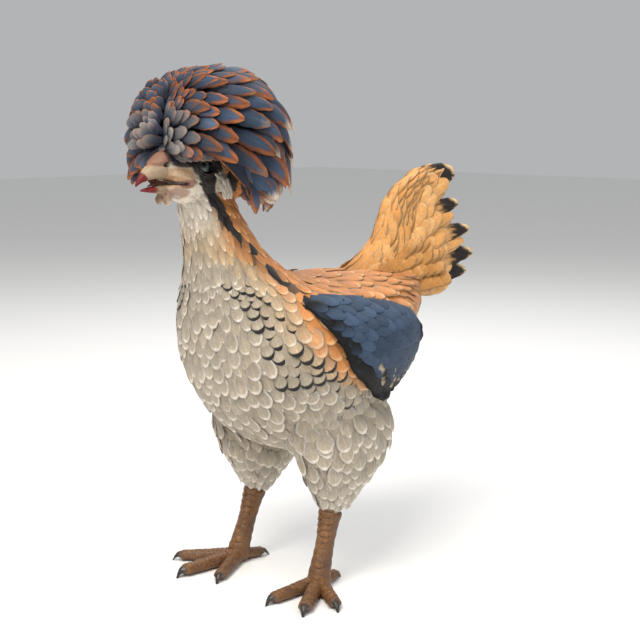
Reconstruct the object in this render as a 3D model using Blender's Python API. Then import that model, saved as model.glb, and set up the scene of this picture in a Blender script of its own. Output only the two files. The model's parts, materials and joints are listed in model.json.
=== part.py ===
"""A polish crested chicken at life size: a still model of a standing hen.

Metres, +Z up. The bird looks along -Y and its left side is +X. The origin is on
the floor under the middle of its box. Sizes in the tables are in millimetres,
with x measured from the bird's middle plane and y from a line through its hips.
"""

import math

import bmesh
import bpy
import numpy as np
from mathutils import Vector

MM = 0.001
GAP = 0.0003
GROW = 0.00042
SIDES = (("left", 1.0), ("right", -1.0))

# Each row of the trunk is one slice: its front edge (y, z), its back edge (y, z) and half its width.
TRUNK_ROWS = (
    (-96, 230, -22, 248, 58),
    (-92, 203, 2, 245, 76),
    (-88, 172, 34, 244, 86),
    (-76, 141, 64, 243, 88),
    (-47, 112, 86, 243, 82),
    (2, 98, 102, 244, 67),
    (48, 108, 114, 246, 51),
    (84, 133, 124, 248, 38),
    (112, 165, 132, 250, 29),
    (134, 200, 138, 252, 21),
)
TRUNK_SQUARE = 2.25
TRUNK_SLICES = 22
TRUNK_SIDES = 28
NECK_ROWS = (
    (-119, 312, -72, 330, 20),
    (-114, 292, -67, 308, 24),
    (-106, 272, -58, 286, 30),
    (-100, 250, -45, 266, 40),
    (-96, 230, -22, 248, 58),
)
NECK_SLICES = 9

# Each row of the head is one upright slice: y, lowest z, highest z and half its width.
HEAD_ROWS = (
    (-127, 309, 343, 10.5),
    (-120, 304, 350, 16),
    (-108, 300, 357, 20),
    (-95, 297, 362, 21.5),
    (-82, 297, 363, 21),
    (-68, 301, 358, 18),
    (-57, 309, 348, 12),
    (-52, 318, 338, 5),
)
HEAD_SLICES = 15
UPPER_BILL_ROWS = (
    (-127.3, 319.7, 342.5, 9.8),
    (-133, 320.9, 339.8, 8.4),
    (-139, 321.2, 335.2, 6.8),
    (-145, 320.2, 330.4, 4.9),
    (-150, 318.6, 325.6, 3.0),
    (-153.4, 316.6, 320.8, 1.5),
    (-154.6, 315.6, 317.6, 0.7),
)
LOWER_BILL_ROWS = (
    (-127.3, 310.0, 317.0, 8.6),
    (-133, 310.6, 317.2, 7.2),
    (-139, 311.3, 316.4, 5.6),
    (-145, 312.0, 315.4, 3.7),
    (-150, 312.8, 314.2, 1.4),
)
TONGUE_ROWS = (
    (-127.6, 317.4, 319.0, 4.2),
    (-133, 317.6, 319.2, 3.8),
    (-139, 316.9, 318.4, 2.7),
    (-144, 315.9, 316.9, 1.0),
)
MOUTH_SLOT = (-128.5, -113.5, 320.2, 317.0, 317.4)
NOSTRIL = (8.6, -133.5, 331.4, 2.2, 3.4, 1.5)
EYE = (14.6, -106.5, 329.8)
EYE_RADIUS = 7.4
LID_OPENING = (6.8, 4.9)
LID_THICK = 1.4
EAR = (19.4, -91.0, 315.0)
EAR_SIZE = (5.0, 6.0, 8.4)
EAR_CUP = (24.8, -92.0, 318.0, 4.2)
WATTLE = (4.6, -130.5, 306.6)
WATTLE_SIZE = (2.4, 4.4, 5.0)

# The crest's outer surface: its middle, how far it reaches at five turns from the front, how far
# it rises and drops, and the height of its rim at seven turns.
CREST_MIDDLE = (0, -84, 345)
CREST_TURNS = (0, 45, 90, 135, 180)
CREST_REACH = (48, 64, 61, 53, 54)
CREST_RISE, CREST_DROP = 57.0, 84.0
CREST_SQUARE = 2.4
RIM_TURNS = (0, 45, 60, 75, 90, 120, 150, 180)
RIM_HEIGHTS = (341, 333, 325, 312, 306, 297, 290, 284)
CREST_CORE = 0.66
CREST_ROOT = 0.61
CREST_LENGTHS = (17.0, 44.0)
CREST_SLIM = 0.37
CREST_PITCH = (0.55, 1.1)

# The wing's outline seen from the side (y, z), from the shoulder over the back edge to the low tip.
WING_OUTLINE = (
    (-38, 232),
    (-8, 233),
    (26, 224),
    (56, 209),
    (75, 189),
    (73, 169),
    (57, 154),
    (35, 146),
    (6, 163),
    (-18, 185),
    (-36, 212),
)
WING_THICK = 9.0
# Rows of wing feathers, from the flight feathers up: where the row's tips start and end along a line
# (y, z), how far back the roots lie, the feathers' width, their count and how high they lie.
WING_ROWS = (
    ((27, 145), (74, 192), (-30, 27), 18.0, 8, 0.6),
    ((-6, 172), (68, 180), (-26, 24), 17.0, 7, 2.8),
    ((-24, 190), (50, 197), (-24, 20), 18.0, 5, 5.0),
)

# A feather's outline: share of its length, share of its width, share of its thickness.
LONG_VANE = ((0.0, 0.34, 1.0), (0.28, 0.8, 1.0), (0.58, 1.0, 0.9), (0.84, 0.8, 0.7), (1.0, 0.24, 0.5))
SHORT_VANE = ((0.0, 0.4, 1.0), (0.42, 0.95, 1.0), (0.8, 0.86, 0.8), (1.0, 0.24, 0.5))
VANE_THICK = 1.5
VANE_CUP = 0.1

# Each row of the tail's fleshy root is one slice: its front edge (y, z), its back edge (y, z) and half its width.
TAIL_ROWS = (
    (108, 248, 139, 196, 23),
    (116, 262, 150, 206, 19),
    (126, 272, 160, 216, 13),
    (136, 278, 166, 228, 6),
)
# Main tail feathers of one side, from the middle one down: root (x, y, z), rise at the root and at the
# tip in degrees, and length.
TAIL_MAINS = (
    (3, 116, 244, 82, 12, 106),
    (6, 118, 241, 74, 18, 98),
    (9, 120, 237, 60, 22, 88),
    (12, 122, 232, 46, 12, 78),
    (14, 124, 226, 34, 4, 68),
    (15, 126, 219, 22, -2, 56),
)
MAIN_WIDTH = 27.0
# Tail coverts of one side, in the same order.
TAIL_COVERTS = (
    (6, 106, 244, 84, 70, 60),
    (13, 110, 240, 64, 24, 58),
    (19, 112, 232, 50, 8, 48),
    (20, 113, 222, 26, -10, 40),
)
COVERT_WIDTH = 22.0

# Each row of a thigh is one level slice: z, front y, back y, middle x and half its width.
THIGH_ROWS = (
    (57, -15, 12, 44, 12.5),
    (66, -20, 19, 44, 17),
    (80, -28, 35, 45, 23),
    (98, -39, 51, 46, 29),
    (125, -48, 62, 46, 31),
    (150, -40, 50, 44, 26),
)

# Feet: where each stands (x, y), where its shank starts (x, y), and how far the inner, middle,
# outer and hind toes turn out from straight ahead.
FEET = {
    "left": ((47, -20), (44, -3), (0, 34, 60, 189)),
    "right": ((-44, -24), (-44, -3), (-31, 3, 46, 194)),
}
SHANK_TOP = 62.0
SHANK_RADII = (8.4, 6.5, 6.1, 6.8, 8.0)
SCUTES = 8
TOES = (("inner", 49, 4.9), ("middle", 55, 5.3), ("outer", 47, 4.8), ("hind", 21, 4.4))
CLAW_LENGTH = 11.0
PAD_DEPTH = 0.9

# Where the middle of the finished bird's box lies in the tables (x, y).
BOX_MIDDLE = (0.0, 16.7)

COLOURS = {
    "breast_plumage": ("CFC4AE", 0.85),
    "neck_plumage": ("D2A676", 0.85),
    "crest_feather": ("3A4658", 0.7),
    "wing_feather": ("34465B", 0.65),
    "tail_feather": ("D8954F", 0.75),
    "thigh_plumage": ("CDC5B6", 0.9),
    "bill_horn": ("CDB79A", 0.45),
    "tongue_skin": ("5A2C2C", 0.4),
    "face_skin": ("3A3432", 0.7),
    "ear_skin": ("E4DDD2", 0.6),
    "wattle_skin": ("B9827A", 0.55),
    "eye_glass": ("20302C", 0.1),
    "leg_scale": ("9A5F2C", 0.6),
    "claw_horn": ("4A4744", 0.4),
}


# The closed forms each object was made of, before any cut.
pieces = {}


def linear(channel):
    """One sRGB channel as linear light."""
    return channel / 12.92 if channel <= 0.04045 else ((channel + 0.055) / 1.055) ** 2.4


def material(name):
    """The named material, made once from its hex colour and roughness."""
    found = bpy.data.materials.get(name)
    if found:
        return found
    code, rough = COLOURS[name]
    made = bpy.data.materials.new(name)
    made.use_nodes = True
    shader = made.node_tree.nodes["Principled BSDF"]
    channels = [linear(int(code[i : i + 2], 16) / 255) for i in (0, 2, 4)]
    shader.inputs["Base Color"].default_value = (*channels, 1.0)
    shader.inputs["Roughness"].default_value = rough
    shader.inputs["Metallic"].default_value = 0.0
    return made


def place(points):
    """Table millimetres as metres in the model's own frame."""
    return (np.asarray(points, float) - np.array((*BOX_MIDDLE, 0.0))) * MM


def add(name, points, faces, finish):
    """A new mesh object with its faces pointing out."""
    mesh = bpy.data.meshes.new(name)
    mesh.from_pydata([tuple(p) for p in points], [], faces)
    tidy = bmesh.new()
    tidy.from_mesh(mesh)
    bmesh.ops.recalc_face_normals(tidy, faces=tidy.faces)
    tidy.to_mesh(mesh)
    tidy.free()
    obj = bpy.data.objects.new(name, mesh)
    mesh.materials.append(material(finish))
    bpy.data.collections["chicken"].objects.link(obj)
    pieces[obj.name] = [(np.array(points, float), faces)]
    return obj


def through(rows, count):
    """Rows of numbers joined by a Catmull-Rom curve and read at even steps."""
    rows = np.asarray(rows, float)
    last = len(rows) - 1
    padded = np.vstack([2 * rows[0] - rows[1], rows, 2 * rows[-1] - rows[-2]])
    read = []
    for step in np.linspace(0, last, count):
        k = min(int(step), last - 1)
        t = step - k
        a, b, c, d = padded[k : k + 4]
        read.append(
            0.5 * (2 * b + (c - a) * t + (2 * a - 5 * b + 4 * c - d) * t**2 + (3 * b - a - 3 * c + d) * t**3)
        )
    return np.array(read)


def slice_ring(row, sides, square):
    """One rounded slice between a front and a back edge point, in the plane that holds X."""
    front, back = np.array(row[0:2]), np.array(row[2:4])
    middle, half = (front + back) / 2, (front - back) / 2
    turn = np.linspace(0, 2 * math.pi, sides, endpoint=False)
    power = 2 / square
    along = np.sign(np.cos(turn)) * np.abs(np.cos(turn)) ** power
    across = np.sign(np.sin(turn)) * np.abs(np.sin(turn)) ** power
    ring = np.zeros((sides, 3))
    ring[:, 0] = row[4] * across
    ring[:, 1:] = middle + np.outer(along, half)
    return ring


def upright_ring(row, sides, square=2.2):
    """One rounded slice at a constant y, from its low edge to its high edge."""
    y, low, high, width = row
    return slice_ring((y, low, y, high, width), sides, square)


def loft(rings):
    """Points and faces of closed rings joined in order, with flat ends."""
    sides = len(rings[0])
    faces = [tuple(range(sides))]
    for r in range(len(rings) - 1):
        for i in range(sides):
            j = (i + 1) % sides
            faces.append((r * sides + i, r * sides + j, (r + 1) * sides + j, (r + 1) * sides + i))
    first = (len(rings) - 1) * sides
    faces.append(tuple(range(first + sides - 1, first - 1, -1)))
    return np.concatenate(rings), faces


def ellipsoid(centre, size, rings=10, sides=14):
    """Points and faces of an ellipsoid made as a scaled sphere."""
    made = bmesh.new()
    bmesh.ops.create_uvsphere(made, u_segments=sides, v_segments=rings, radius=1.0)
    points = [np.array(v.co) * np.array(size) + np.array(centre) for v in made.verts]
    faces = [tuple(v.index for v in f.verts) for f in made.faces]
    made.free()
    return np.array(points), faces


def applied(obj):
    """Writes the modifiers of an object into its mesh."""
    bpy.context.view_layer.update()
    graph = bpy.context.evaluated_depsgraph_get()
    mesh = bpy.data.meshes.new_from_object(obj.evaluated_get(graph))
    obj.modifiers.clear()
    obj.data = mesh


def keep_largest(obj):
    """Keeps only the closed surface that holds the most, and drops loose scraps."""
    work = bmesh.new()
    work.from_mesh(obj.data)
    bmesh.ops.triangulate(work, faces=work.faces)
    work.faces.index_update()
    group, groups = {}, []
    for seed in work.faces:
        if seed.index in group:
            continue
        found, waiting = [], [seed]
        group[seed.index] = len(groups)
        while waiting:
            face = waiting.pop()
            found.append(face)
            for edge in face.edges:
                for near in edge.link_faces:
                    if near.index not in group:
                        group[near.index] = len(groups)
                        waiting.append(near)
        groups.append(found)
    held = [sum(volume_under(face) for face in found) for found in groups]
    best = held.index(max(held))
    loose = [face for k, found in enumerate(groups) if k != best for face in found]
    bmesh.ops.delete(work, geom=loose, context="FACES")
    bare = [v for v in work.verts if not v.link_faces]
    bmesh.ops.delete(work, geom=bare, context="VERTS")
    work.to_mesh(obj.data)
    work.free()


def volume_under(face):
    """Signed volume between the origin and one triangle."""
    a, b, c = (v.co for v in face.verts)
    return a.dot(b.cross(c)) / 6


def boolean(obj, others, operation):
    """Joins or cuts an object with closed helpers in one step, then removes the helpers."""
    helpers = bpy.data.collections.new("helpers")
    for other in others:
        for home in list(other.users_collection):
            home.objects.unlink(other)
        helpers.objects.link(other)
    bpy.context.scene.collection.children.link(helpers)
    step = obj.modifiers.new(operation.lower(), "BOOLEAN")
    step.operation = operation
    step.solver = "MANIFOLD"
    step.operand_type = "COLLECTION"
    step.collection = helpers
    applied(obj)
    for other in others:
        added = pieces.pop(other.name, [])
        if operation == "UNION":
            pieces[obj.name] += added
        bpy.data.objects.remove(other)
    bpy.data.collections.remove(helpers)
    keep_largest(obj)
    return obj


def grown(obj, by=GROW):
    """The forms an object was first made of, each swollen along its normals, to cut a neighbour clear."""
    swollen = []
    for points, faces in pieces[obj.name]:
        copy = add(obj.name + "_grown", points, faces, "face_skin")
        pieces.pop(copy.name)
        moved = [v.co + v.normal * by for v in copy.data.vertices]
        for vertex, point in zip(copy.data.vertices, moved):
            vertex.co = point
        swollen.append(copy)
    return swollen


def trunk_rings():
    """The slices of the trunk from the neck to the tail root."""
    rows = through(TRUNK_ROWS, TRUNK_SLICES)
    return [slice_ring(row, TRUNK_SIDES, TRUNK_SQUARE) for row in rows]


def flank(y, z):
    """Half the trunk's width at a point of its side view, or zero outside it."""
    rows = through(TRUNK_ROWS, 241)
    front, back = rows[:, 0:2], rows[:, 2:4]
    point = np.array((y, z))
    middle, half = (front + back) / 2, (front - back) / 2
    side = half[:, 0] * (point - middle)[:, 1] - half[:, 1] * (point - middle)[:, 0]
    share = ((point - middle) * half).sum(1) / (half**2).sum(1)
    best = 0.0
    for k in range(len(rows) - 1):
        if side[k] * side[k + 1] <= 0 and abs(share[k]) < 1:
            width = rows[k, 4] * (1 - abs(share[k]) ** TRUNK_SQUARE) ** (1 / TRUNK_SQUARE)
            best = max(best, width)
    return best


def build_trunk():
    """Breast, back, belly and rump in one closed form."""
    points, faces = loft(trunk_rings())
    return add("torso", place(points), faces, "breast_plumage")


def build_neck(head):
    """The neck, cut clear of the head above it."""
    rows = through(NECK_ROWS, NECK_SLICES)
    rings = [slice_ring(row, TRUNK_SIDES, TRUNK_SQUARE) for row in rows]
    low = rings[-1]
    rise = np.array((0, (NECK_ROWS[-2][0] - NECK_ROWS[-1][0]), (NECK_ROWS[-2][1] - NECK_ROWS[-1][1])), float)
    rings[-1] = low + rise / np.linalg.norm(rise) * GAP / MM
    points, faces = loft(rings)
    neck = add("neck", place(points), faces, "neck_plumage")
    return boolean(neck, grown(head), "DIFFERENCE")


def lid_ring(side):
    """The almond ring of lid skin that stands round one eye."""
    long, tall = LID_OPENING
    rings = []
    for turn in np.linspace(0, 2 * math.pi, 16, endpoint=False):
        y, z = long * math.cos(turn), tall * math.sin(turn)
        depth = math.sqrt((EYE_RADIUS + 0.6) ** 2 - y * y - z * z)
        out = np.array((depth * side, y, z))
        out = out / np.linalg.norm(out)
        edge = np.array((0, y, z)) / math.hypot(y, z)
        core = np.array((side * EYE[0], EYE[1], EYE[2])) + np.array((side * depth, y, z))
        around = np.linspace(0, 2 * math.pi, 5, endpoint=False)
        rings.append([core + LID_THICK * (edge * math.cos(a) + out * math.sin(a)) for a in around])
    count = len(rings[0])
    faces = []
    for r in range(len(rings)):
        s = (r + 1) % len(rings)
        for i in range(count):
            j = (i + 1) % count
            faces.append((r * count + i, r * count + j, s * count + j, s * count + i))
    return np.concatenate(rings), faces


def build_eyes():
    """Both eyeballs."""
    eyes = []
    for name, side in SIDES:
        centre = (side * EYE[0], EYE[1], EYE[2])
        points, faces = ellipsoid(centre, (EYE_RADIUS,) * 3, 8, 14)
        eyes.append(add(f"eye_{name}", place(points), faces, "eye_glass"))
    return eyes


def build_head(eyes):
    """The skull and face, with lids, eye sockets and the line of the mouth."""
    rings = [upright_ring(row, 20) for row in through(HEAD_ROWS, HEAD_SLICES)]
    points, faces = loft(rings)
    head = add("head", place(points), faces, "face_skin")
    lids = []
    for name, side in SIDES:
        points, faces = lid_ring(side)
        lids.append(add(f"lid_{name}", place(points), faces, "face_skin"))
    boolean(head, lids, "UNION")
    front, back, high, low, end = MOUTH_SLOT
    wide = 30
    slot = [(x, front, z) for x in (-wide, wide) for z in (high, low)]
    slot += [(x, back, end + z) for x in (-wide, wide) for z in (0.3, -0.3)]
    slot_faces = [(0, 1, 3, 2), (4, 5, 7, 6), (0, 1, 5, 4), (2, 3, 7, 6), (0, 2, 6, 4), (1, 3, 7, 5)]
    mouth = add("mouth_cutter", place(slot), slot_faces, "face_skin")
    return boolean(head, grown(eyes[0]) + grown(eyes[1]) + [mouth], "DIFFERENCE")


def build_bill():
    """Upper bill with its nostrils, lower bill and tongue."""
    rings = [upright_ring(row, 12, 2.0) for row in through(UPPER_BILL_ROWS, 10)]
    points, faces = loft(rings)
    upper = add("bill_upper", place(points), faces, "bill_horn")
    x, y, z, *size = NOSTRIL
    holes = []
    for name, side in SIDES:
        points, faces = ellipsoid((side * x, y, z), size, 6, 8)
        holes.append(add(f"nostril_{name}", place(points), faces, "bill_horn"))
    boolean(upper, holes, "DIFFERENCE")
    rings = [upright_ring(row, 10, 2.0) for row in through(LOWER_BILL_ROWS, 7)]
    points, faces = loft(rings)
    lower = add("bill_lower", place(points), faces, "bill_horn")
    rings = [upright_ring(row, 8, 2.0) for row in through(TONGUE_ROWS, 5)]
    points, faces = loft(rings)
    tongue = add("tongue", place(points), faces, "tongue_skin")
    return upper, lower, tongue


def build_ears_and_wattles(head, neck, lower_bill):
    """Ear lobes with a shallow cup, and the small wattles under the bill."""
    ears = []
    for name, side in SIDES:
        centre = (side * EAR[0], EAR[1], EAR[2])
        points, faces = ellipsoid(centre, EAR_SIZE, 7, 10)
        ear = add(f"ear_{name}", place(points), faces, "ear_skin")
        x, y, z, radius = EAR_CUP
        points, faces = ellipsoid((side * x, y, z), (radius,) * 3, 6, 8)
        cup = add("ear_cup", place(points), faces, "ear_skin")
        ears.append(boolean(ear, grown(head) + grown(neck) + [cup], "DIFFERENCE"))
        centre = (side * WATTLE[0], WATTLE[1], WATTLE[2])
        points, faces = ellipsoid(centre, WATTLE_SIZE, 6, 8)
        wattle = add(f"wattle_{name}", place(points), faces, "wattle_skin")
        boolean(wattle, grown(head) + grown(neck) + grown(lower_bill), "DIFFERENCE")
    return ears


def vane(path, ups, width, shape=LONG_VANE):
    """Points and faces of one feather blade along a path, cupped away from its upper side."""
    path, ups = np.asarray(path, float), np.asarray(ups, float)
    steps = np.linspace(0, 1, len(path))
    rings = []
    for share, wide, deep in shape:
        point = np.array([np.interp(share, steps, path[:, k]) for k in range(3)])
        up = np.array([np.interp(share, steps, ups[:, k]) for k in range(3)])
        before = np.array([np.interp(share - 0.08, steps, path[:, k]) for k in range(3)])
        after = np.array([np.interp(share + 0.08, steps, path[:, k]) for k in range(3)])
        ahead = (after - before) / np.linalg.norm(after - before)
        aside = np.cross(ahead, up)
        aside /= np.linalg.norm(aside)
        up = np.cross(aside, ahead)
        half, depth = width * wide / 2, VANE_THICK * deep / 2
        drop = up * VANE_CUP * width * wide
        edges = (-aside * half - drop, up * depth, aside * half - drop, -up * depth)
        rings.append(np.array([point + edge for edge in edges]))
    return loft(rings)


def crest_reach(way):
    """How far the crest's outer surface lies from its middle along a unit direction."""
    turn = math.degrees(math.atan2(abs(way[0]), -way[1]))
    wide = np.interp(turn, CREST_TURNS, CREST_REACH)
    tall = CREST_RISE if way[2] > 0 else CREST_DROP
    level = math.hypot(way[0], way[1])
    return ((level / wide) ** CREST_SQUARE + (abs(way[2]) / tall) ** CREST_SQUARE) ** (-1 / CREST_SQUARE)


def crest_flow(way):
    """The direction in which crest feathers lie at a unit direction: back from the brow, out and down."""
    side = 1.0 if way[0] >= 0 else -1.0
    settled = min(max((way[1] + 0.9) / 0.7, 0.0), 1.0)
    sag = 0.4 * settled + 0.9 * max(0.3 - way[2], 0.0) * settled + 0.9 * max(way[1], 0.0)
    pull = np.array((0.45 * side * settled * (1 - abs(way[0])), 1.0, -sag))
    along = pull - way * pull.dot(way)
    return along / np.linalg.norm(along)


def crest_blade(turn, around, length, lift):
    """The path and upper sides of one crest feather, from its root to its tip."""
    way = np.array((math.sin(turn) * math.sin(around), -math.cos(turn), math.sin(turn) * math.cos(around)))
    path, ups = [], []
    steps = 9
    for k in range(steps):
        share = k / (steps - 1)
        reach = crest_reach(way)
        level = CREST_ROOT + (1 - CREST_ROOT) * (1 - (1 - share) ** 2) + lift * share
        path.append(np.array(CREST_MIDDLE) + way * reach * level)
        ups.append(way)
        way = way + crest_flow(way) * length / reach / (steps - 1)
        way /= np.linalg.norm(way)
    return path, ups


def build_crest(head, neck, others):
    """The crest: a low core and every feather that fans back from the brow over it."""
    points, faces = ellipsoid((0, 0, 0), (1, 1, 1), 8, 12)
    core = []
    for point in points:
        way = point / np.linalg.norm(point)
        share = CREST_CORE + 0.3 * max(-way[1], 0.0) ** 4
        core.append(np.array(CREST_MIDDLE) + way * crest_reach(way) * share * (1 if way[2] > -0.5 else 0.8))
    crest = add("crest", place(core), faces, "crest_feather")
    draw = np.random.default_rng(11)
    blades = []
    turn, row = 0.2, 0
    while turn < 2.75:
        share = min(max((turn - 0.2) / 0.9, 0.0), 1.0)
        length = CREST_LENGTHS[0] + (CREST_LENGTHS[1] - CREST_LENGTHS[0]) * share
        width = length * CREST_SLIM * (1.25 - 0.25 * share)
        count = max(4, round(2 * math.pi * math.sin(turn) * 56 / (width * CREST_PITCH[1])))
        for k in range(count):
            around = (2 * (k + 0.5 * (row % 2)) / count - 1) * math.pi + draw.uniform(-0.06, 0.06)
            path, ups = crest_blade(turn, around, length * draw.uniform(0.92, 1.08), draw.uniform(-0.015, 0.03))
            x, y, z = path[-1]
            facing = math.degrees(math.atan2(abs(x), CREST_MIDDLE[1] - y))
            if z > np.interp(facing, RIM_TURNS, RIM_HEIGHTS):
                points, faces = vane(path, ups, width)
                blades.append(add(f"blade_{len(blades)}", place(points), faces, "crest_feather"))
        turn += length * CREST_PITCH[0] / 56
        row += 1
    boolean(crest, blades, "UNION")
    cutters = []
    for other in [head, neck, *others]:
        cutters += grown(other)
    return boolean(crest, cutters, "DIFFERENCE")


def wing_reach(y, z):
    """How far from the middle plane the inner face of the wing lies."""
    return max(flank(y, z), 60 - 0.25 * max(y - 40, 0)) + 0.28 * max(y - 44, 0)


def build_wing(name, side, torso, thigh):
    """One folded wing: a rounded slab against the flank, with rows of feathers over it."""
    outline = through(WING_OUTLINE + WING_OUTLINE[:1], 26)[:-1]
    middle = outline.mean(0)
    rings = []
    for share, lift in ((1.0, -4.0), (1.0, 1.6), (0.8, 6.0), (0.45, WING_THICK), (0.1, WING_THICK + 1)):
        flat = middle + (outline - middle) * share
        rings.append([(side * (wing_reach(y, z) + lift), y, z) for y, z in flat])
    points, faces = loft([np.array(ring) for ring in rings])
    wing = add(f"wing_{name}", place(points), faces, "wing_feather")
    blades = []
    for first, last, back, width, count, level in WING_ROWS:
        for k in range(count):
            share = k / (count - 1)
            tip = np.array(first) + (np.array(last) - np.array(first)) * share
            bulge = 7 * math.sin(math.pi * share)
            tip = tip + np.array((0.5, -0.8)) * bulge
            path, ups = [], []
            for s in np.linspace(0, 1, 6):
                y, z = tip + np.array(back) * (1 - s) * (1.25 - 0.35 * share)
                lift = level + 1.6 * s - 1.2 * (1 - s)
                path.append((side * (wing_reach(y, z) + lift + WING_THICK * 0.35), y, z))
                ups.append((side, 0.1, 0.22))
            points, faces = vane(path, ups, width, SHORT_VANE)
            blades.append(add(f"blade_{len(blades)}", place(points), faces, "wing_feather"))
    boolean(wing, blades, "UNION")
    return boolean(wing, grown(torso) + grown(thigh), "DIFFERENCE")


def tail_blade(side, row, width, tilt, shape):
    """One tail feather, rising from its root and bending back towards its tip."""
    x, y, z, rise, droop, length = row
    point = np.array((side * x, y, z), float)
    path, ups = [point], []
    steps = 8
    for k in range(steps):
        share = k / (steps - 1)
        angle = math.radians(rise + (droop - rise) * share)
        splay = math.radians(2 + 0.4 * x)
        ahead = np.array((side * math.sin(splay), math.cos(splay) * math.cos(angle), math.sin(angle)))
        lean = math.sin(tilt)
        ups.append(np.array((side * math.cos(tilt), -math.sin(angle) * lean, math.cos(angle) * lean)))
        if k < steps - 1:
            path.append(path[-1] + ahead * length / (steps - 1))
    return vane(path, ups, width, shape)


def build_tail(torso):
    """The tail: a fleshy root, main feathers in two halves like a tent, and coverts over them."""
    rings = [slice_ring(row, 12, TRUNK_SQUARE) for row in through(TAIL_ROWS, 5)]
    points, faces = loft(rings)
    tail = add("tail", place(points), faces, "tail_feather")
    blades = []
    for _, side in SIDES:
        mains = (TAIL_MAINS, MAIN_WIDTH, 0.35, LONG_VANE)
        coverts = (TAIL_COVERTS, COVERT_WIDTH, 0.3, SHORT_VANE)
        for rows, width, tilt, shape in (mains, coverts):
            for row in rows:
                points, faces = tail_blade(side, row, width, tilt, shape)
                blades.append(add(f"blade_{len(blades)}", place(points), faces, "tail_feather"))
    boolean(tail, blades, "UNION")
    return boolean(tail, grown(torso), "DIFFERENCE")


def build_thigh(name, side, torso):
    """One feathered thigh, from the belly down to the hock."""
    rings = []
    for z, front, back, x, width in through(THIGH_ROWS, 9):
        ring = slice_ring((front, z, back, z, width), 18, 2.1)
        ring[:, 0] += side * x
        rings.append(ring)
    points, faces = loft(rings)
    thigh = add(f"thigh_{name}", place(points), faces, "thigh_plumage")
    return boolean(thigh, grown(torso), "DIFFERENCE")


def tube(path, radii, sides):
    """Rings of the given radii square to a path of points."""
    path = np.asarray(path, float)
    rings = []
    for k, (point, radius) in enumerate(zip(path, radii)):
        ahead = Vector(path[min(k + 1, len(path) - 1)] - path[max(k - 1, 0)]).normalized()
        first = ahead.orthogonal() if abs(ahead.z) > 0.98 else ahead.cross(Vector((0, 0, 1)))
        first.normalize()
        second = ahead.cross(first)
        turns = np.linspace(0, 2 * math.pi, sides, endpoint=False)
        rings.append(
            np.array([point + radius * (np.array(first) * math.cos(a) + np.array(second) * math.sin(a)) for a in turns])
        )
    return rings


def heading(degrees):
    """The level direction at an angle from straight ahead, turning to the bird's left."""
    return np.array((math.sin(math.radians(degrees)), -math.cos(math.radians(degrees)), 0.0))


def build_leg(name, side, thigh):
    """One shank and foot in scaled skin, and its four claws."""
    (x, y), (top_x, top_y), headings = FEET[name]
    low, high = np.array((x, y, 9.0)), np.array((top_x, top_y, SHANK_TOP))
    steps = np.linspace(0, 1, 2 * SCUTES)
    radii = np.interp(steps, np.linspace(0, 1, len(SHANK_RADII)), SHANK_RADII[::-1])
    radii = [r * (1.06 if k % 2 else 0.98) for k, r in enumerate(radii)]
    rings = tube([low + (high - low) * s for s in steps], radii, 10)
    points, faces = loft(rings)
    shank = add(f"shank_{name}", place(points), faces, "leg_scale")
    boolean(shank, grown(thigh), "DIFFERENCE")
    points, faces = ellipsoid((x, y, 6.4), (9.2, 9.2, 6.8), 7, 8)
    foot = add(f"foot_{name}", place(points), faces, "leg_scale")
    toes, claws = [], []
    for (toe, length, radius), turn in zip(TOES, headings):
        ahead = heading(side * turn)
        start = np.array((x, y, 0.0))
        path, taper = [], []
        for k, s in enumerate(np.linspace(0.0, 1.0, 8)):
            lift = (6.4 - radius) * (1 - s) ** 2 + radius - PAD_DEPTH
            path.append(start + ahead * length * s + np.array((0, 0, lift)))
            taper.append(radius * (1.12 - 0.24 * s) * (1.05 if k % 2 else 0.97))
        points, faces = loft(tube(path, taper, 6))
        toes.append(add(f"toe_{toe}", place(points), faces, "leg_scale"))
        claws.append((toe, start + ahead * (length - 1.2), ahead, radius))
    boolean(foot, toes, "UNION")
    boolean(foot, grown(shank) + [below_floor()], "DIFFERENCE")
    for toe, start, ahead, radius in claws:
        path, radii = [], []
        for s in np.linspace(0, 1, 5):
            rise = radius * (0.9 - 0.85 * s**2.2) + 1.3 * math.sin(math.pi * s)
            path.append(start + ahead * (CLAW_LENGTH + 1.2) * s + np.array((0, 0, rise)))
            radii.append(radius * 0.66 * (1 - 0.84 * s))
        points, faces = loft(tube(path, radii, 7))
        claw = add(f"claw_{name}_{toe}", place(points), faces, "claw_horn")
        boolean(claw, grown(foot) + [below_floor()], "DIFFERENCE")
    return foot


def below_floor():
    """A block that fills the space under the floor, to cut the soles flat."""
    made = bmesh.new()
    bmesh.ops.create_cube(made, size=1.0)
    mesh = bpy.data.meshes.new("below_floor")
    made.to_mesh(mesh)
    made.free()
    for vertex in mesh.vertices:
        vertex.co.z -= 0.5
    obj = bpy.data.objects.new("below_floor", mesh)
    bpy.context.scene.collection.objects.link(obj)
    return obj


def main():
    """Builds every part of the bird."""
    for obj in list(bpy.data.objects):
        bpy.data.objects.remove(obj)
    chicken = bpy.data.collections.new("chicken")
    bpy.context.scene.collection.children.link(chicken)
    torso = build_trunk()
    eyes = build_eyes()
    head = build_head(eyes)
    neck = build_neck(head)
    upper, lower, _ = build_bill()
    ears = build_ears_and_wattles(head, neck, lower)
    build_crest(head, neck, eyes + ears + [upper])
    build_tail(torso)
    for name, side in SIDES:
        thigh = build_thigh(name, side, torso)
        build_wing(name, side, torso, thigh)
        build_leg(name, side, thigh)


main()
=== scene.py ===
"""Looks of a polish crested chicken, a still model at life size, with its floor, lights and camera."""

import json
import logging
import math
from dataclasses import dataclass, replace
from enum import Enum
from typing import Callable, Sequence

import bmesh
import bpy
import numpy as np
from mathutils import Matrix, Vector
from mathutils.bvhtree import BVHTree
from mathutils.kdtree import KDTree

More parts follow.
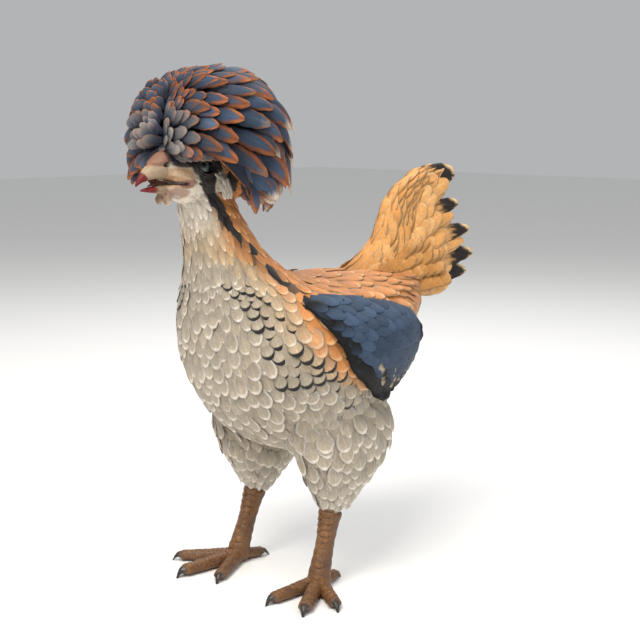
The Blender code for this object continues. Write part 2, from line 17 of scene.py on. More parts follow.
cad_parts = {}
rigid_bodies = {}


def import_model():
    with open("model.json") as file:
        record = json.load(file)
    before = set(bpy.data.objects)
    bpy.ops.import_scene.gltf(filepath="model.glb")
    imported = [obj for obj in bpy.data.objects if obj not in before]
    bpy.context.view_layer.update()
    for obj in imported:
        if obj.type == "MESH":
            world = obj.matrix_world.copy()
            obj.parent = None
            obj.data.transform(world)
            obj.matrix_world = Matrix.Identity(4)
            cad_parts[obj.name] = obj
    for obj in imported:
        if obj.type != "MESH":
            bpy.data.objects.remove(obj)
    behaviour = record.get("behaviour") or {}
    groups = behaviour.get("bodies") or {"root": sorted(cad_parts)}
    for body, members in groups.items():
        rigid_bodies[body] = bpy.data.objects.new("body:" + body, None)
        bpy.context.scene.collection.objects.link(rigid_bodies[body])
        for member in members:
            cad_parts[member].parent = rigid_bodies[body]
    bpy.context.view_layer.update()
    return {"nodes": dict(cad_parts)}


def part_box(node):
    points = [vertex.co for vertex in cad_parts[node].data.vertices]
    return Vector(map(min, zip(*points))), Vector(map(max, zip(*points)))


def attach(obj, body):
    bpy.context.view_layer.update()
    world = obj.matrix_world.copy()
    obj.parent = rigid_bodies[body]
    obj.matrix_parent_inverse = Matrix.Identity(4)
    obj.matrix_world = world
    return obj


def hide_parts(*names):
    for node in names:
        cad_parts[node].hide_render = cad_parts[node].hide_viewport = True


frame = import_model()
log = logging.getLogger("chicken")
MM = 0.001

# All places below are millimetres from the bird's middle plane, its hips and the floor. The torso's
# front lies this far ahead of the hips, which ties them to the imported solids.
TORSO_FRONT = -96.0
HIPS_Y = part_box("torso")[0].y - TORSO_FRONT * MM
SIDES = {"left": 1.0, "right": -1.0}


def place(points: np.ndarray) -> np.ndarray:
    """Turns millimetres from the hips into metres in the frame.

    Args:
        points: Rows of x, y, z in millimetres.
    Returns:
        The same rows in metres, moved to the frame's origin.
    """
    return np.asarray(points, float) * MM + np.array((0.0, HIPS_Y, 0.0))


def measure(points: np.ndarray) -> np.ndarray:
    """Turns metres in the frame back into millimetres from the hips."""
    return (np.asarray(points, float) - np.array((0.0, HIPS_Y, 0.0))) / MM


def linear(colour: str) -> np.ndarray:
    """Turns an sRGB hex colour into linear red, green and blue.

    Args:
        colour: Six hex digits.
    Returns:
        Three linear channels.
    """
    channels = np.array([int(colour[k:k + 2], 16) / 255 for k in (0, 2, 4)])
    return np.where(channels <= 0.04045, channels / 12.92, ((channels + 0.055) / 1.055) ** 2.4)


def ease(value: np.ndarray, low: float, high: float) -> np.ndarray:
    """A smooth step from 0 at low to 1 at high."""
    share = np.clip((np.asarray(value, float) - low) / (high - low), 0.0, 1.0)
    return share * share * (3 - 2 * share)


def mixed(first: np.ndarray, second: np.ndarray, share: np.ndarray) -> np.ndarray:
    """Blends rows of colour by a share for each row."""
    share = np.asarray(share, float)[..., None]
    return first * (1 - share) + second * share


def unit(rows: np.ndarray) -> np.ndarray:
    """Rows scaled to length one."""
    return rows / np.maximum(np.linalg.norm(rows, axis=-1, keepdims=True), 1e-9)


def read_off(at: Sequence, steps: Sequence, rows: np.ndarray) -> np.ndarray:
    """Reads every column of some rows at places along their steps."""
    return np.stack([np.interp(at, steps, column) for column in rows.T], 1)


def run_along(line: np.ndarray) -> np.ndarray:
    """How far along a line each of its places lies."""
    return np.concatenate(((0,), np.cumsum(np.linalg.norm(np.diff(line, axis=0), axis=1))))


def add_node(tree: bpy.types.NodeTree, kind: str, settings: dict | None = None, **inputs) -> bpy.types.Node:
    """Adds one node, sets its properties, and fills or links its inputs.

    Args:
        tree: The node tree.
        kind: The node's type name.
        settings: Properties by name.
        inputs: Values or output sockets, by input name with _ for a space, or by i and the input's number.
    Returns:
        The node.
    """
    node = tree.nodes.new(kind)
    for name, value in (settings or {}).items():
        setattr(node, name, value)
    for name, value in inputs.items():
        key = int(name[1:]) if name[0] == "i" and name[1:].isdigit() else name.replace("_", " ")
        socket = node.inputs[key]
        if isinstance(value, bpy.types.NodeSocket):
            tree.links.new(value, socket)
        else:
            socket.default_value = value
    return node


def reckon(tree: bpy.types.NodeTree, operation: str, *values) -> bpy.types.NodeSocket:
    """The result of one Math node on numbers or sockets."""
    inputs = {f"i{k}": value for k, value in enumerate(values)}
    return add_node(tree, "ShaderNodeMath", {"operation": operation}, **inputs).outputs[0]


def ranged(
    tree: bpy.types.NodeTree,
    value: bpy.types.NodeSocket,
    start: tuple,
    end: tuple = (0.0, 1.0),
    eased: bool = False,
) -> bpy.types.NodeSocket:
    """A value moved from one range to another.

    Args:
        tree: The node tree.
        value: What is moved.
        start: The range it comes from.
        end: The range it goes to.
        eased: Whether the way between is a smooth step.
    Returns:
        The moved value, held within the second range.
    """
    settings = {"interpolation_type": "SMOOTHSTEP"} if eased else {}
    return add_node(
        tree, "ShaderNodeMapRange", settings,
        Value=value, From_Min=start[0], From_Max=start[1], To_Min=end[0], To_Max=end[1],
    ).outputs["Result"]


def stored(tree: bpy.types.NodeTree, name: str, output: str = "Fac") -> bpy.types.NodeSocket:
    """What a mesh stores under a name."""
    return add_node(tree, "ShaderNodeAttribute", {"attribute_name": name}).outputs[output]


def noise(tree: bpy.types.NodeTree, size_mm: float, detail: float) -> bpy.types.NodeSocket:
    """Noise of a size in millimetres, fixed to the piece."""
    spot = add_node(tree, "ShaderNodeTexCoord").outputs["Object"]
    size = 1 / (size_mm * MM)
    return add_node(tree, "ShaderNodeTexNoise", Vector=spot, Scale=size, Detail=detail).outputs["Fac"]


def dimmed(
    tree: bpy.types.NodeTree, colour: bpy.types.NodeSocket, light: bpy.types.NodeSocket
) -> bpy.types.NodeSocket:
    """A colour made lighter or darker by one number."""
    grey = add_node(tree, "ShaderNodeCombineColor", Red=light, Green=light, Blue=light).outputs[0]
    settings = {"data_type": "RGBA", "blend_type": "MULTIPLY"}
    return add_node(tree, "ShaderNodeMix", settings, i0=1.0, i6=colour, i7=grey).outputs[2]


class Surface(Enum):
    """How a finish's surface is made."""

    FEATHER = "feather vane with barbs and a shaft"
    DOWN = "skin under down"
    KERATIN = "smooth grown horn"
    SCALE = "scaled leg skin"
    WET = "moist or glassy surface"
    STUDIO = "painted studio floor"


@dataclass(frozen=True)
class Finish:
    """One material: what it is, its colours and how it takes light."""

    name: str
    surface: Surface
    colour: str
    second: str
    roughness: float
    ior: float = 1.45
    grain_mm: float = 1.0
    bump: float = 0.2
    coat: float = 0.0
    sheen: float = 0.0
    subsurface: float = 0.0
    fray: float = 0.12

    def build(self) -> bpy.types.Material:
        """Makes the material's nodes for its kind of surface.

        Returns:
            The material, made once and then reused.
        """
        found = bpy.data.materials.get(self.name)
        if found:
            return found
        material = bpy.data.materials.new(self.name)
        material.use_nodes = True
        tree = material.node_tree
        shader = tree.nodes["Principled BSDF"]
        values = {
            "Roughness": self.roughness, "IOR": self.ior, "Coat Weight": self.coat, "Coat Roughness": 0.08,
            "Sheen Weight": self.sheen, "Sheen Roughness": 0.5, "Subsurface Weight": self.subsurface,
            "Subsurface Scale": 0.002,
        }
        for name, value in values.items():
            shader.inputs[name].default_value = value
        if self.surface is Surface.FEATHER:
            self._feather(tree, shader)
        elif self.surface is Surface.SCALE:
            self._grained(tree, shader)
        elif self.surface is Surface.STUDIO:
            shader.inputs["Base Color"].default_value = (*linear(self.colour), 1)
        else:
            self._painted(tree, shader)
        return material

    def _laid(
        self, tree: bpy.types.NodeTree, shader: bpy.types.Node, colour: bpy.types.NodeSocket,
        height: bpy.types.NodeSocket, deep_mm: float,
    ) -> None:
        """Gives the shader its colour and a bump of some depth."""
        bump = add_node(tree, "ShaderNodeBump", Strength=self.bump, Distance=deep_mm * MM, Height=height)
        tree.links.new(colour, shader.inputs["Base Color"])
        tree.links.new(bump.outputs["Normal"], shader.inputs["Normal"])

    def _feather(self, tree: bpy.types.NodeTree, shader: bpy.types.Node) -> None:
        """A vane coloured by its own paint, with a fringe, barbs that leave the shaft aslant, painted shade
        towards its root, and bump.
        """
        ground, fringe = stored(tree, "ground", "Color"), stored(tree, "fringe", "Color")
        edge, rim, along = (stored(tree, name) for name in ("edge", "rim", "along"))
        barbs = add_node(tree, "ShaderNodeUVMap", {"uv_map": "Barbs"}).outputs["UV"]
        parts = add_node(tree, "ShaderNodeSeparateXYZ", Vector=barbs).outputs
        across = reckon(tree, "ABSOLUTE", parts["X"])
        cloud, streak = noise(tree, 9, 2.0), noise(tree, 1.6, 3.0)
        slant = reckon(tree, "MULTIPLY_ADD", across, -0.55, parts["Y"])
        swirl = reckon(tree, "MULTIPLY_ADD", streak, 0.1, slant)
        ridge = reckon(tree, "SINE", reckon(tree, "MULTIPLY", swirl, 2 * math.pi / self.grain_mm))
        strand_at = add_node(
            tree, "ShaderNodeCombineXYZ", X=reckon(tree, "MULTIPLY", slant, 13.0),
            Y=reckon(tree, "MULTIPLY", across, 1.5), Z=reckon(tree, "MULTIPLY", cloud, 9.0),
        ).outputs[0]
        strands = add_node(tree, "ShaderNodeTexNoise", Vector=strand_at, Scale=1.0, Detail=2.0).outputs["Fac"]
        ragged = reckon(tree, "ADD", ranged(tree, strands, (0.25, 0.75), (-self.fray, self.fray)), edge)
        mask = ranged(tree, ragged, (reckon(tree, "MULTIPLY", rim, 0.62), rim), (1.0, 0.0), eased=True)
        mixer = add_node(tree, "ShaderNodeMix", {"data_type": "RGBA"}, i0=mask, i6=ground, i7=fringe)
        colour = mixer.outputs[2]
        shade = ranged(tree, strands, (0.3, 0.7), (0.84, 1.1))
        # Painted shade: each vane is darkened towards its root, where the feathers that lap over it would
        # shade it.
        root_shade = ranged(tree, along, (0.25, 0.85), (0.72, 1.0), eased=True)
        mottle = ranged(tree, cloud, (0.3, 0.7), (0.88, 1.1))
        shaft = ranged(tree, across, (0.03, 0.1), (1.18, 1.0))
        light = shade
        for other in (root_shade, mottle, shaft):
            light = reckon(tree, "MULTIPLY", light, other)
        self._laid(tree, shader, dimmed(tree, colour, light), ridge, 0.3)

    def _painted(self, tree: bpy.types.NodeTree, shader: bpy.types.Node) -> None:
        """A surface coloured by its own paint, with soft mottling and fine bump."""
        cloud = noise(tree, self.grain_mm, 4.0)
        light = ranged(tree, cloud, (0.25, 0.75), (0.82, 1.14))
        self._laid(tree, shader, dimmed(tree, stored(tree, "ground", "Color"), light), cloud, 0.3)

    def _grained(self, tree: bpy.types.NodeTree, shader: bpy.types.Node) -> None:
        """A surface of two colours, broken up by cells and noise at the size of its grain."""
        spot = add_node(tree, "ShaderNodeTexCoord").outputs["Object"]
        cells = add_node(
            tree, "ShaderNodeTexVoronoi", {"feature": "DISTANCE_TO_EDGE"},
            Vector=spot, Scale=1 / (self.grain_mm * MM),
        ).outputs["Distance"]
        spread = ranged(tree, noise(tree, 6 * self.grain_mm, 5.0), (0.35, 0.68))
        colour = add_node(
            tree, "ShaderNodeMix", {"data_type": "RGBA"},
            i0=spread, i6=(*linear(self.colour), 1), i7=(*linear(self.second), 1),
        ).outputs[2]
        groove = ranged(tree, cells, (0.0, 0.14), (0.62, 1.0))
        self._laid(tree, shader, dimmed(tree, colour, groove), groove, 0.5)


# Vane keratin: dry and matt with a faint sheen from the barbules; its colours are painted on each vane.
VANE = Finish(
    "vane_keratin", Surface.FEATHER, "C8BEAC", "E8E0D2", 0.62, grain_mm=0.05, bump=0.35, sheen=0.12, fray=0.04
)
# Long quill feathers of crest, wing and tail: closer barbs, a little glossier.
QUILL = Finish(
    "quill_keratin", Surface.FEATHER, "45566E", "B0623A", 0.6, ior=1.35, grain_mm=0.035, bump=0.4, fray=0.12
)
# Skin seen between the feathers, matt with down; its pieces are painted in darkened plumage colours as shade.
DOWN_SKIN = Finish("downy_skin", Surface.DOWN, "B9AE9C", "8F8574", 0.85, grain_mm=2.5, bump=0.5)
# Bare face skin: soft, slightly moist.
FACE_SKIN = Finish(
    "bare_skin", Surface.DOWN, "C7A283", "8E6A50", 0.55, grain_mm=1.2, bump=0.35, subsurface=0.15
)
# Bill horn: grown keratin, satin.
HORN = Finish(
    "bill_keratin", Surface.KERATIN, "D8C2A4", "B4442E", 0.55,
    ior=1.42, grain_mm=3.0, bump=0.12, subsurface=0.1,
)
# Claw horn: dark, worn smooth.
CLAW = Finish("claw_keratin", Surface.KERATIN, "2B2522", "5A4A3C", 0.35, ior=1.54, grain_mm=2.0, bump=0.15)
# Leg skin: dry hard scales.
LEG = Finish("leg_hide", Surface.SCALE, "61412A", "7F5831", 0.5, ior=1.5, grain_mm=2.2, bump=0.5)
# Scute plates, glossier than the skin between them.
SCUTE = Finish("leg_scute", Surface.SCALE, "6E4A2A", "875E35", 0.42, ior=1.5, grain_mm=5.0, bump=0.15)
# Eyeball: wet and glassy.
EYE_GLASS = Finish(
    "eye_cornea", Surface.WET, "141A1C", "2B3A3A", 0.15, ior=1.38, grain_mm=1.5, bump=0.02, coat=0.5
)
# Mouth lining and tongue: moist skin.
MOUTH = Finish("mouth_lining", Surface.WET, "5A3530", "8A5548", 0.35, grain_mm=1.5, bump=0.2, subsurface=0.1)
# Studio floor: matt painted board.
FLOOR = Finish("studio_board", Surface.STUDIO, "F4F4F2", "F4F4F2", 0.9, grain_mm=900.0, bump=0.0)


def smooth(piece: bpy.types.Object) -> bpy.types.Object:
    """Shades a piece smooth and returns it."""
    piece.data.shade_smooth()
    return piece


def add_object(name: str, data: bpy.types.ID) -> bpy.types.Object:
    """Makes an object of some data in the scene."""
    piece = bpy.data.objects.new(name, data)
    bpy.context.scene.collection.objects.link(piece)
    return piece


def mesh_piece(name: str, points: np.ndarray, faces: Sequence, finish: Finish) -> bpy.types.Object:
    """Makes a mesh object in the scene.

    Args:
        name: The piece's name.
        points: Rows of metres in the frame.
        faces: Index tuples or an index array.
        finish: Its finish.
    Returns:
        The object, at the origin.
    """
    mesh = bpy.data.meshes.new(name)
    rows = faces.tolist() if isinstance(faces, np.ndarray) else faces
    mesh.from_pydata(np.asarray(points).tolist(), [], rows)
    mesh.materials.append(finish.build())
    return smooth(add_object(name, mesh))


def paint(piece: bpy.types.Object, name: str, rows: np.ndarray) -> None:
    """Stores one colour for each vertex under a name."""
    layer = piece.data.attributes.new(name, "FLOAT_COLOR", "POINT")
    full = np.ones((len(rows), 4), np.float32)
    full[:, :3] = rows
    layer.data.foreach_set("color", full.ravel())


def paint_plain(piece: bpy.types.Object, colour: np.ndarray) -> None:
    """Paints a whole piece in one colour."""
    paint(piece, "ground", np.repeat(colour[None], len(piece.data.vertices), 0))


def store(piece: bpy.types.Object, name: str, rows: np.ndarray, kind: str = "FLOAT") -> None:
    """Stores a number, whole number or vector for each vertex under a name."""
    layer = piece.data.attributes.new(name, kind, "POINT")
    key = "vector" if kind == "FLOAT_VECTOR" else "value"
    layer.data.foreach_set(key, np.asarray(rows).ravel())


def corners(piece: bpy.types.Object) -> np.ndarray:
    """The vertex index at each face corner."""
    index = np.empty(len(piece.data.loops), np.int32)
    piece.data.loops.foreach_get("vertex_index", index)
    return index


def lay_uv(piece: bpy.types.Object, name: str, rows: np.ndarray) -> None:
    """Stores a UV map from one pair for each vertex."""
    layer = piece.data.uv_layers.new(name=name)
    layer.data.foreach_set("uv", np.asarray(rows, np.float32)[corners(piece)].ravel())


def points_of(mesh: bpy.types.Mesh) -> tuple[np.ndarray, np.ndarray]:
    """Vertex places and normals of a mesh."""
    points = np.empty(len(mesh.vertices) * 3, np.float32)
    normals = np.empty(len(mesh.vertices) * 3, np.float32)
    mesh.vertices.foreach_get("co", points)
    mesh.vertex_normals.foreach_get("vector", normals)
    return points.reshape(-1, 3).astype(float), normals.reshape(-1, 3).astype(float)


def put_points(piece: bpy.types.Object, points: np.ndarray) -> None:
    """Moves a piece's points to places in metres."""
    piece.data.vertices.foreach_set("co", points.astype(np.float32).ravel())
    piece.data.update()


def swell(piece: bpy.types.Object, rise_mm: np.ndarray | float) -> np.ndarray:
    """Moves each point of a piece out along its normal.

    Args:
        piece: The piece.
        rise_mm: How far each point moves, or all of them.
    Returns:
        The new places in metres.
    """
    points, normals = points_of(piece.data)
    points += normals * np.reshape(rise_mm, (-1, 1)) * MM
    put_points(piece, points)
    return points


def remeshed(
    name: str, nodes: Sequence[str], voxel_mm: float, rounds: int, finish: Finish
) -> bpy.types.Object:
    """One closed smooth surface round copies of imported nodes.

    Args:
        name: The new piece's name.
        nodes: The nodes that it takes its form from.
        voxel_mm: The mesh's fineness.
        rounds: How many times it is smoothed.
        finish: Its finish.
    Returns:
        The piece, at the origin.
    """
    joined = bmesh.new()
    for node in nodes:
        joined.from_mesh(frame["nodes"][node].data)
    bmesh.ops.remove_doubles(joined, verts=joined.verts, dist=0.02 * MM)
    mesh = bpy.data.meshes.new(name)
    joined.to_mesh(mesh)
    joined.free()
    piece = add_object(name, mesh)
    solid = piece.modifiers.new("solid", "REMESH")
    solid.mode = "VOXEL"
    solid.voxel_size = voxel_mm * MM
    relax = piece.modifiers.new("relax", "SMOOTH")
    relax.factor = 0.5
    relax.iterations = rounds
    flattened(piece)
    piece.data.materials.clear()
    piece.data.materials.append(finish.build())
    return smooth(piece)


def flattened(piece: bpy.types.Object) -> bpy.types.Object:
    """Turns a piece with modifiers into a plain mesh and returns it."""
    graph = bpy.context.evaluated_depsgraph_get()
    made = bpy.data.meshes.new_from_object(piece.evaluated_get(graph))
    piece.modifiers.clear()
    old = piece.data
    piece.data = made
    bpy.data.meshes.remove(old)
    return piece


def finish_piece(piece: bpy.types.Object, slot: str, *nodes: str) -> bpy.types.Object:
    """Fixes a piece to the body, hides the nodes that it stands for, and reports it."""
    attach(piece, "root")
    if nodes:
        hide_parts(*nodes)
    log.info("%s: %d faces", piece.name, len(piece.data.polygons))
    return piece


# The colours of the plumage, as sRGB hex.
CREAM, CREAM_EDGE = linear("B3A691"), linear("E2D9CA")
TAN, TAN_EDGE = linear("C4A984"), linear("E2CFB2")
BUFF, BUFF_EDGE = linear("CFA97A"), linear("E2C69C")
ORANGE, ORANGE_EDGE = linear("D98E4C"), linear("EBB57E")
THROAT, THROAT_EDGE = linear("D8CCBA"), linear("F0E8DD")
DARK, DARK_EDGE = linear("211D1B"), linear("2E2A28")
SOCK, SOCK_EDGE = linear("C2B7A6"), linear("E6DED2")
SLATE, SLATE_PALE, NAVY = linear("34465C"), linear("4B6079"), linear("182234")
RUST, RUST_PALE, SNOW = linear("854826"), linear("B86F40"), linear("DCCDBA")
GREY = linear("86827E")
TAIL_BUFF, TAIL_PALE, TAIL_EDGE = linear("DC9A52"), linear("E6B072"), linear("ECC896")

# Where the orange of the back and shoulder starts, from front to back, at heights above the floor.
BACK_EDGE = ((130, 8), (161, -8), (180, -31), (197, -46), (218, -53), (234, -55), (244, -62), (254, -68),
             (264, -81), (277, -86), (295, -90), (310, -88), (330, -86))
# The dark stripe from the eye down the side of the neck, and a second one near the nape.
STRIPE = ((18, -104, 324), (20, -101, 314), (21.6, -97.7, 305), (24, -94.4, 296.3), (29.7, -84.5, 279.3),
          (35.6, -74.2, 266.2), (41.7, -68.5, 256.4), (51.6, -58.7, 246.1), (56.9, -51.7, 240.8))
STRIPE_REACH = (7.5, 6.2, 6.0, 5.4, 5.0, 5.2, 5.6, 5.8, 5.0)
NAPE_STRIPE = ((19, -82, 322), (22, -72, 304), (27, -62, 286), (34, -52, 268))
# The band of dark crescents down the side of the breast, to below the wing.
SPANGLES = ((25.8, -94.7, 250.7), (44.3, -84.8, 232.1), (56.4, -78.4, 218.5), (62, -74, 207), (67, -69, 191),
            (70, -64, 178), (78, -47, 170), (79, -29, 162), (76, 13.6, 151))
SPANGLE_REACH = (8, 11, 12, 14, 17, 18, 14, 10, 6)


def along_line(points: np.ndarray, line: Sequence, depth: float = 3.6) -> tuple[np.ndarray, np.ndarray]:
    """Distance of each point to a line of points, and how far along the line it lies.

    Args:
        points: Rows of millimetres, taken on both sides of the bird alike.
        line: The line's points on the left side.
        depth: How far under the line the points may lie, which isn't counted.
    Returns:
        The distances, and the places along the line counted in its points.
    """
    spots = np.abs(points) * (1, 0, 0) + points * (0, 1, 1)
    best, where = np.full(len(points), 1e9), np.zeros(len(points))
    for k, (first, last) in enumerate(zip(np.array(line, float)[:-1], np.array(line, float)[1:])):
        step = last - first
        share = np.clip(((spots - first) @ step) / step.dot(step), 0, 1)
        far = np.linalg.norm(spots - first - share[:, None] * step, axis=1)
        near = far < best
        best[near], where[near] = far[near], (k + share)[near]
    return np.sqrt(np.maximum(best**2 - depth**2, 0)), where


def plumage_at(points: np.ndarray) -> tuple[np.ndarray, np.ndarray]:
    """The ground and fringe colours of skin and coat at places on head, neck, body and thighs.

    Args:
        points: Rows of millimetres from the hips.
    Returns:
        Ground and fringe colours, one row for each place.
    """
    x, y, z = np.abs(points[:, 0]), points[:, 1], points[:, 2]
    ground = np.repeat(CREAM[None], len(points), 0)
    fringe = np.repeat(CREAM_EDGE[None], len(points), 0)

    def cover(colour: np.ndarray, edge: np.ndarray, share: np.ndarray) -> None:
        ground[:] = mixed(ground, colour, share)
        fringe[:] = mixed(fringe, edge, share)

    heights, starts = zip(*BACK_EDGE)
    behind = y - np.interp(z, heights, starts)
    low = np.interp(y, (-40, 0, 60, 130), (168, 160, 172, 205))
    above = ease(z, 0, 1) * ease(z - low, -8, 12)
    cover(TAN, TAN_EDGE, ease(behind, -30, -10) * above)
    cover(BUFF, BUFF_EDGE, ease(z, 236, 262) * ease(behind, -24, -4) * 0.7)
    cover(ORANGE, ORANGE_EDGE, ease(behind, -14, 2) * above)
    cover(THROAT, THROAT_EDGE, ease(z, 262, 296) * (1 - ease(behind, -14, -3)))
    cover(SOCK, SOCK_EDGE, 1 - ease(z, 66, 100))
    far, where = along_line(points, STRIPE)
    dashes = np.where(where > 4.6, 0.35 + 0.65 * (np.sin(where * 9.0) > -0.2), 1.0)
    share = far / np.interp(where, range(len(STRIPE)), STRIPE_REACH)
    cover(DARK, DARK_EDGE, dashes * (1 - ease(share, 0.75, 1.1)) * ease(z, 236, 240))
    far, where = along_line(points, NAPE_STRIPE)
    cover(DARK, DARK_EDGE, 1 - ease(far, 2.6, 4.6))
    patch = np.hypot((y + 91.5) / 5.5, (z - 317) / 9.5)
    cover(THROAT, THROAT_EDGE, (1 - ease(patch, 0.8, 1.15)) * ease(x, 10, 15))
    cheek = np.linalg.norm((points * (0, 1, 1) - (0, -103, 330)) / (1, 13, 8.0), axis=1)
    cover(DARK, DARK_EDGE, (1 - ease(cheek, 0.85, 1.15)) * ease(x, 8, 12))
    cover(NAVY * 0.7, NAVY, ease(z, 335, 340))
    return ground, fringe


def body_flow(points: np.ndarray) -> np.ndarray:
    """The way feathers lie on head, neck, body and thighs: away from the bill, then down and back."""
    away = unit(points - np.array((0.0, -104.0, 372.0)))
    back = np.array((0.0, 1.0, -0.12))
    trunk = ease(points[:, 1], -70, 20) * ease(points[:, 2], 150, 200)
    flow = mixed(away, back, trunk)
    rise = ease(points[:, 1], 66, 96) * (1 - ease(points[:, 1], 104, 118)) * ease(points[:, 2], 205, 235)
    flow = flow * (1 - 0.6 * rise[:, None]) + np.array((0.0, 0.72, 0.66)) * 0.6 * rise[:, None]
    flow = mixed(flow, np.array((0.0, 0.15, -1.0)), ease(points[:, 1], 112, 130))
    flow = mixed(flow, np.array((0.0, 0.12, -1.0)), 1 - ease(points[:, 2], 105, 150))
    flow = mixed(flow, np.array((0.0, 1.0, -0.75)), ease(points[:, 2], 300, 312))
    return unit(flow)


class Skin:
    """A smooth closed surface that plumage grows on."""

    def __init__(self, piece: bpy.types.Object) -> None:
        """Reads the surface's triangles, normals and a search tree."""
        piece.data.calc_loop_triangles()
        self.points, self.normals = points_of(piece.data)
        index = np.empty(len(piece.data.loop_triangles) * 3, np.int32)
        piece.data.loop_triangles.foreach_get("vertices", index)
        self.faces = index.reshape(-1, 3)
        self.tree = BVHTree.FromPolygons(self.points.tolist(), self.faces.tolist())

    def nearest(self, spot: np.ndarray) -> tuple[np.ndarray, np.ndarray]:
        """The nearest place on the surface and the smooth normal there."""
        found, _, face, _ = self.tree.find_nearest(Vector(spot))
        normal = self.normals[self.faces[face]].mean(0)
        return np.array(found), normal / np.linalg.norm(normal)

    def scatter(
        self, keep: Callable, spacing: Callable, flow: Callable, seed: int, tries: int = 60000
    ) -> tuple[np.ndarray, np.ndarray]:
        """Spreads roots over the surface, none nearer to another than the spacing there.

        Args:
            keep: Tells which places in millimetres take a root.
            spacing: Gives the spacing in millimetres at places.
            flow: Gives the way feathers lie at places.
            seed: Fixes the draw.
            tries: How many places are tried.
        Returns:
            Places in metres and normals.
        """
        draw = np.random.default_rng(seed)
        a, b, c = (self.points[self.faces[:, k]] for k in range(3))
        areas = np.linalg.norm(np.cross(b - a, c - a), axis=1)
        centres = measure((a + b + c) / 3)
        areas = np.where(keep(centres), areas, 0.0)
        chosen = draw.choice(len(areas), tries, p=areas / areas.sum())
        s, t = draw.random((2, tries))
        s, t = np.where(s + t > 1, 1 - s, s), np.where(s + t > 1, 1 - t, t)
        spots = a[chosen] * (1 - s - t)[:, None] + b[chosen] * s[:, None] + c[chosen] * t[:, None]
        near = spacing(measure(spots)) * MM
        cell = float(near.max())
        kept: list[int] = []
        cells: dict[tuple, list[int]] = {}
        keys = np.floor(spots / cell).astype(int)
        around = [(i, j, k) for i in (-1, 0, 1) for j in (-1, 0, 1) for k in (-1, 0, 1)]
        for index in range(tries):
            x, y, z = keys[index]
            spot, gap = spots[index], near[index] ** 2
            crowded = False
            for i, j, k in around:
                for other in cells.get((x + i, y + j, z + k), ()):
                    apart = spots[other] - spot
                    if apart.dot(apart) < gap:
                        crowded = True
                        break
                if crowded:
                    break
            if not crowded:
                kept.append(index)
                cells.setdefault((x, y, z), []).append(index)
        return self.evened(spots[kept], spacing, flow)

    def evened(
        self, spots: np.ndarray, spacing: Callable, flow: Callable, rounds: int = 9, stretch: float = 1.2
    ) -> tuple[np.ndarray, np.ndarray]:
        """Moves roots apart until they lie evenly on the surface, closer along the feathers than across.

        Args:
            spots: Places in metres.
            spacing: Gives the spacing in millimetres at places.
            flow: Gives the way feathers lie at places.
            rounds: How many times they are moved.
            stretch: How much a gap along the feathers counts for, against one across them.
        Returns:
            Places in metres and normals.
        """
        normals = np.zeros_like(spots)
        for turn in range(rounds + 1):
            tree = KDTree(len(spots))
            for k, spot in enumerate(spots):
                tree.insert(spot, k)
            tree.balance()
            reach = spacing(measure(spots)) * MM * 1.22
            ahead = flow(measure(spots))
            moved = spots.copy()
            for k, spot in enumerate(spots):
                if turn < rounds:
                    for other, index, far in tree.find_n(spot, 9):
                        step = spot - np.array(other)
                        along = step.dot(ahead[k]) * stretch
                        across = max(far * far - (along / stretch) ** 2, 0.0) / stretch**2
                        counted = math.sqrt(along * along + across)
                        if index != k and counted < reach[k]:
                            moved[k] += step / max(far, 1e-6) * (reach[k] - counted) * 0.26
                moved[k], normals[k] = self.nearest(moved[k])
            spots = moved
        return spots, normals


@dataclass(frozen=True)
class Vane:
    """The form of one kind of feather, with its length and width as one."""

    shoulder: float = 0.5
    base: float = 0.35
    blunt: float = 2.4
    camber: float = 0.12
    droop: float = 0.08
    ragged: float = 0.06
    columns: int = 5
    rows: int = 8
    thick: float = 0.02

    def half_width(self, share: np.ndarray) -> np.ndarray:
        """Half the vane's width at shares of its length, against its widest as a half."""
        rise = self.base + (1 - self.base) * ease(share, -0.05, self.shoulder)
        past = np.clip((share - self.shoulder) / (1.001 - self.shoulder), 0, 1)
        return 0.5 * rise * (1 - past**self.blunt) ** (1 / self.blunt)


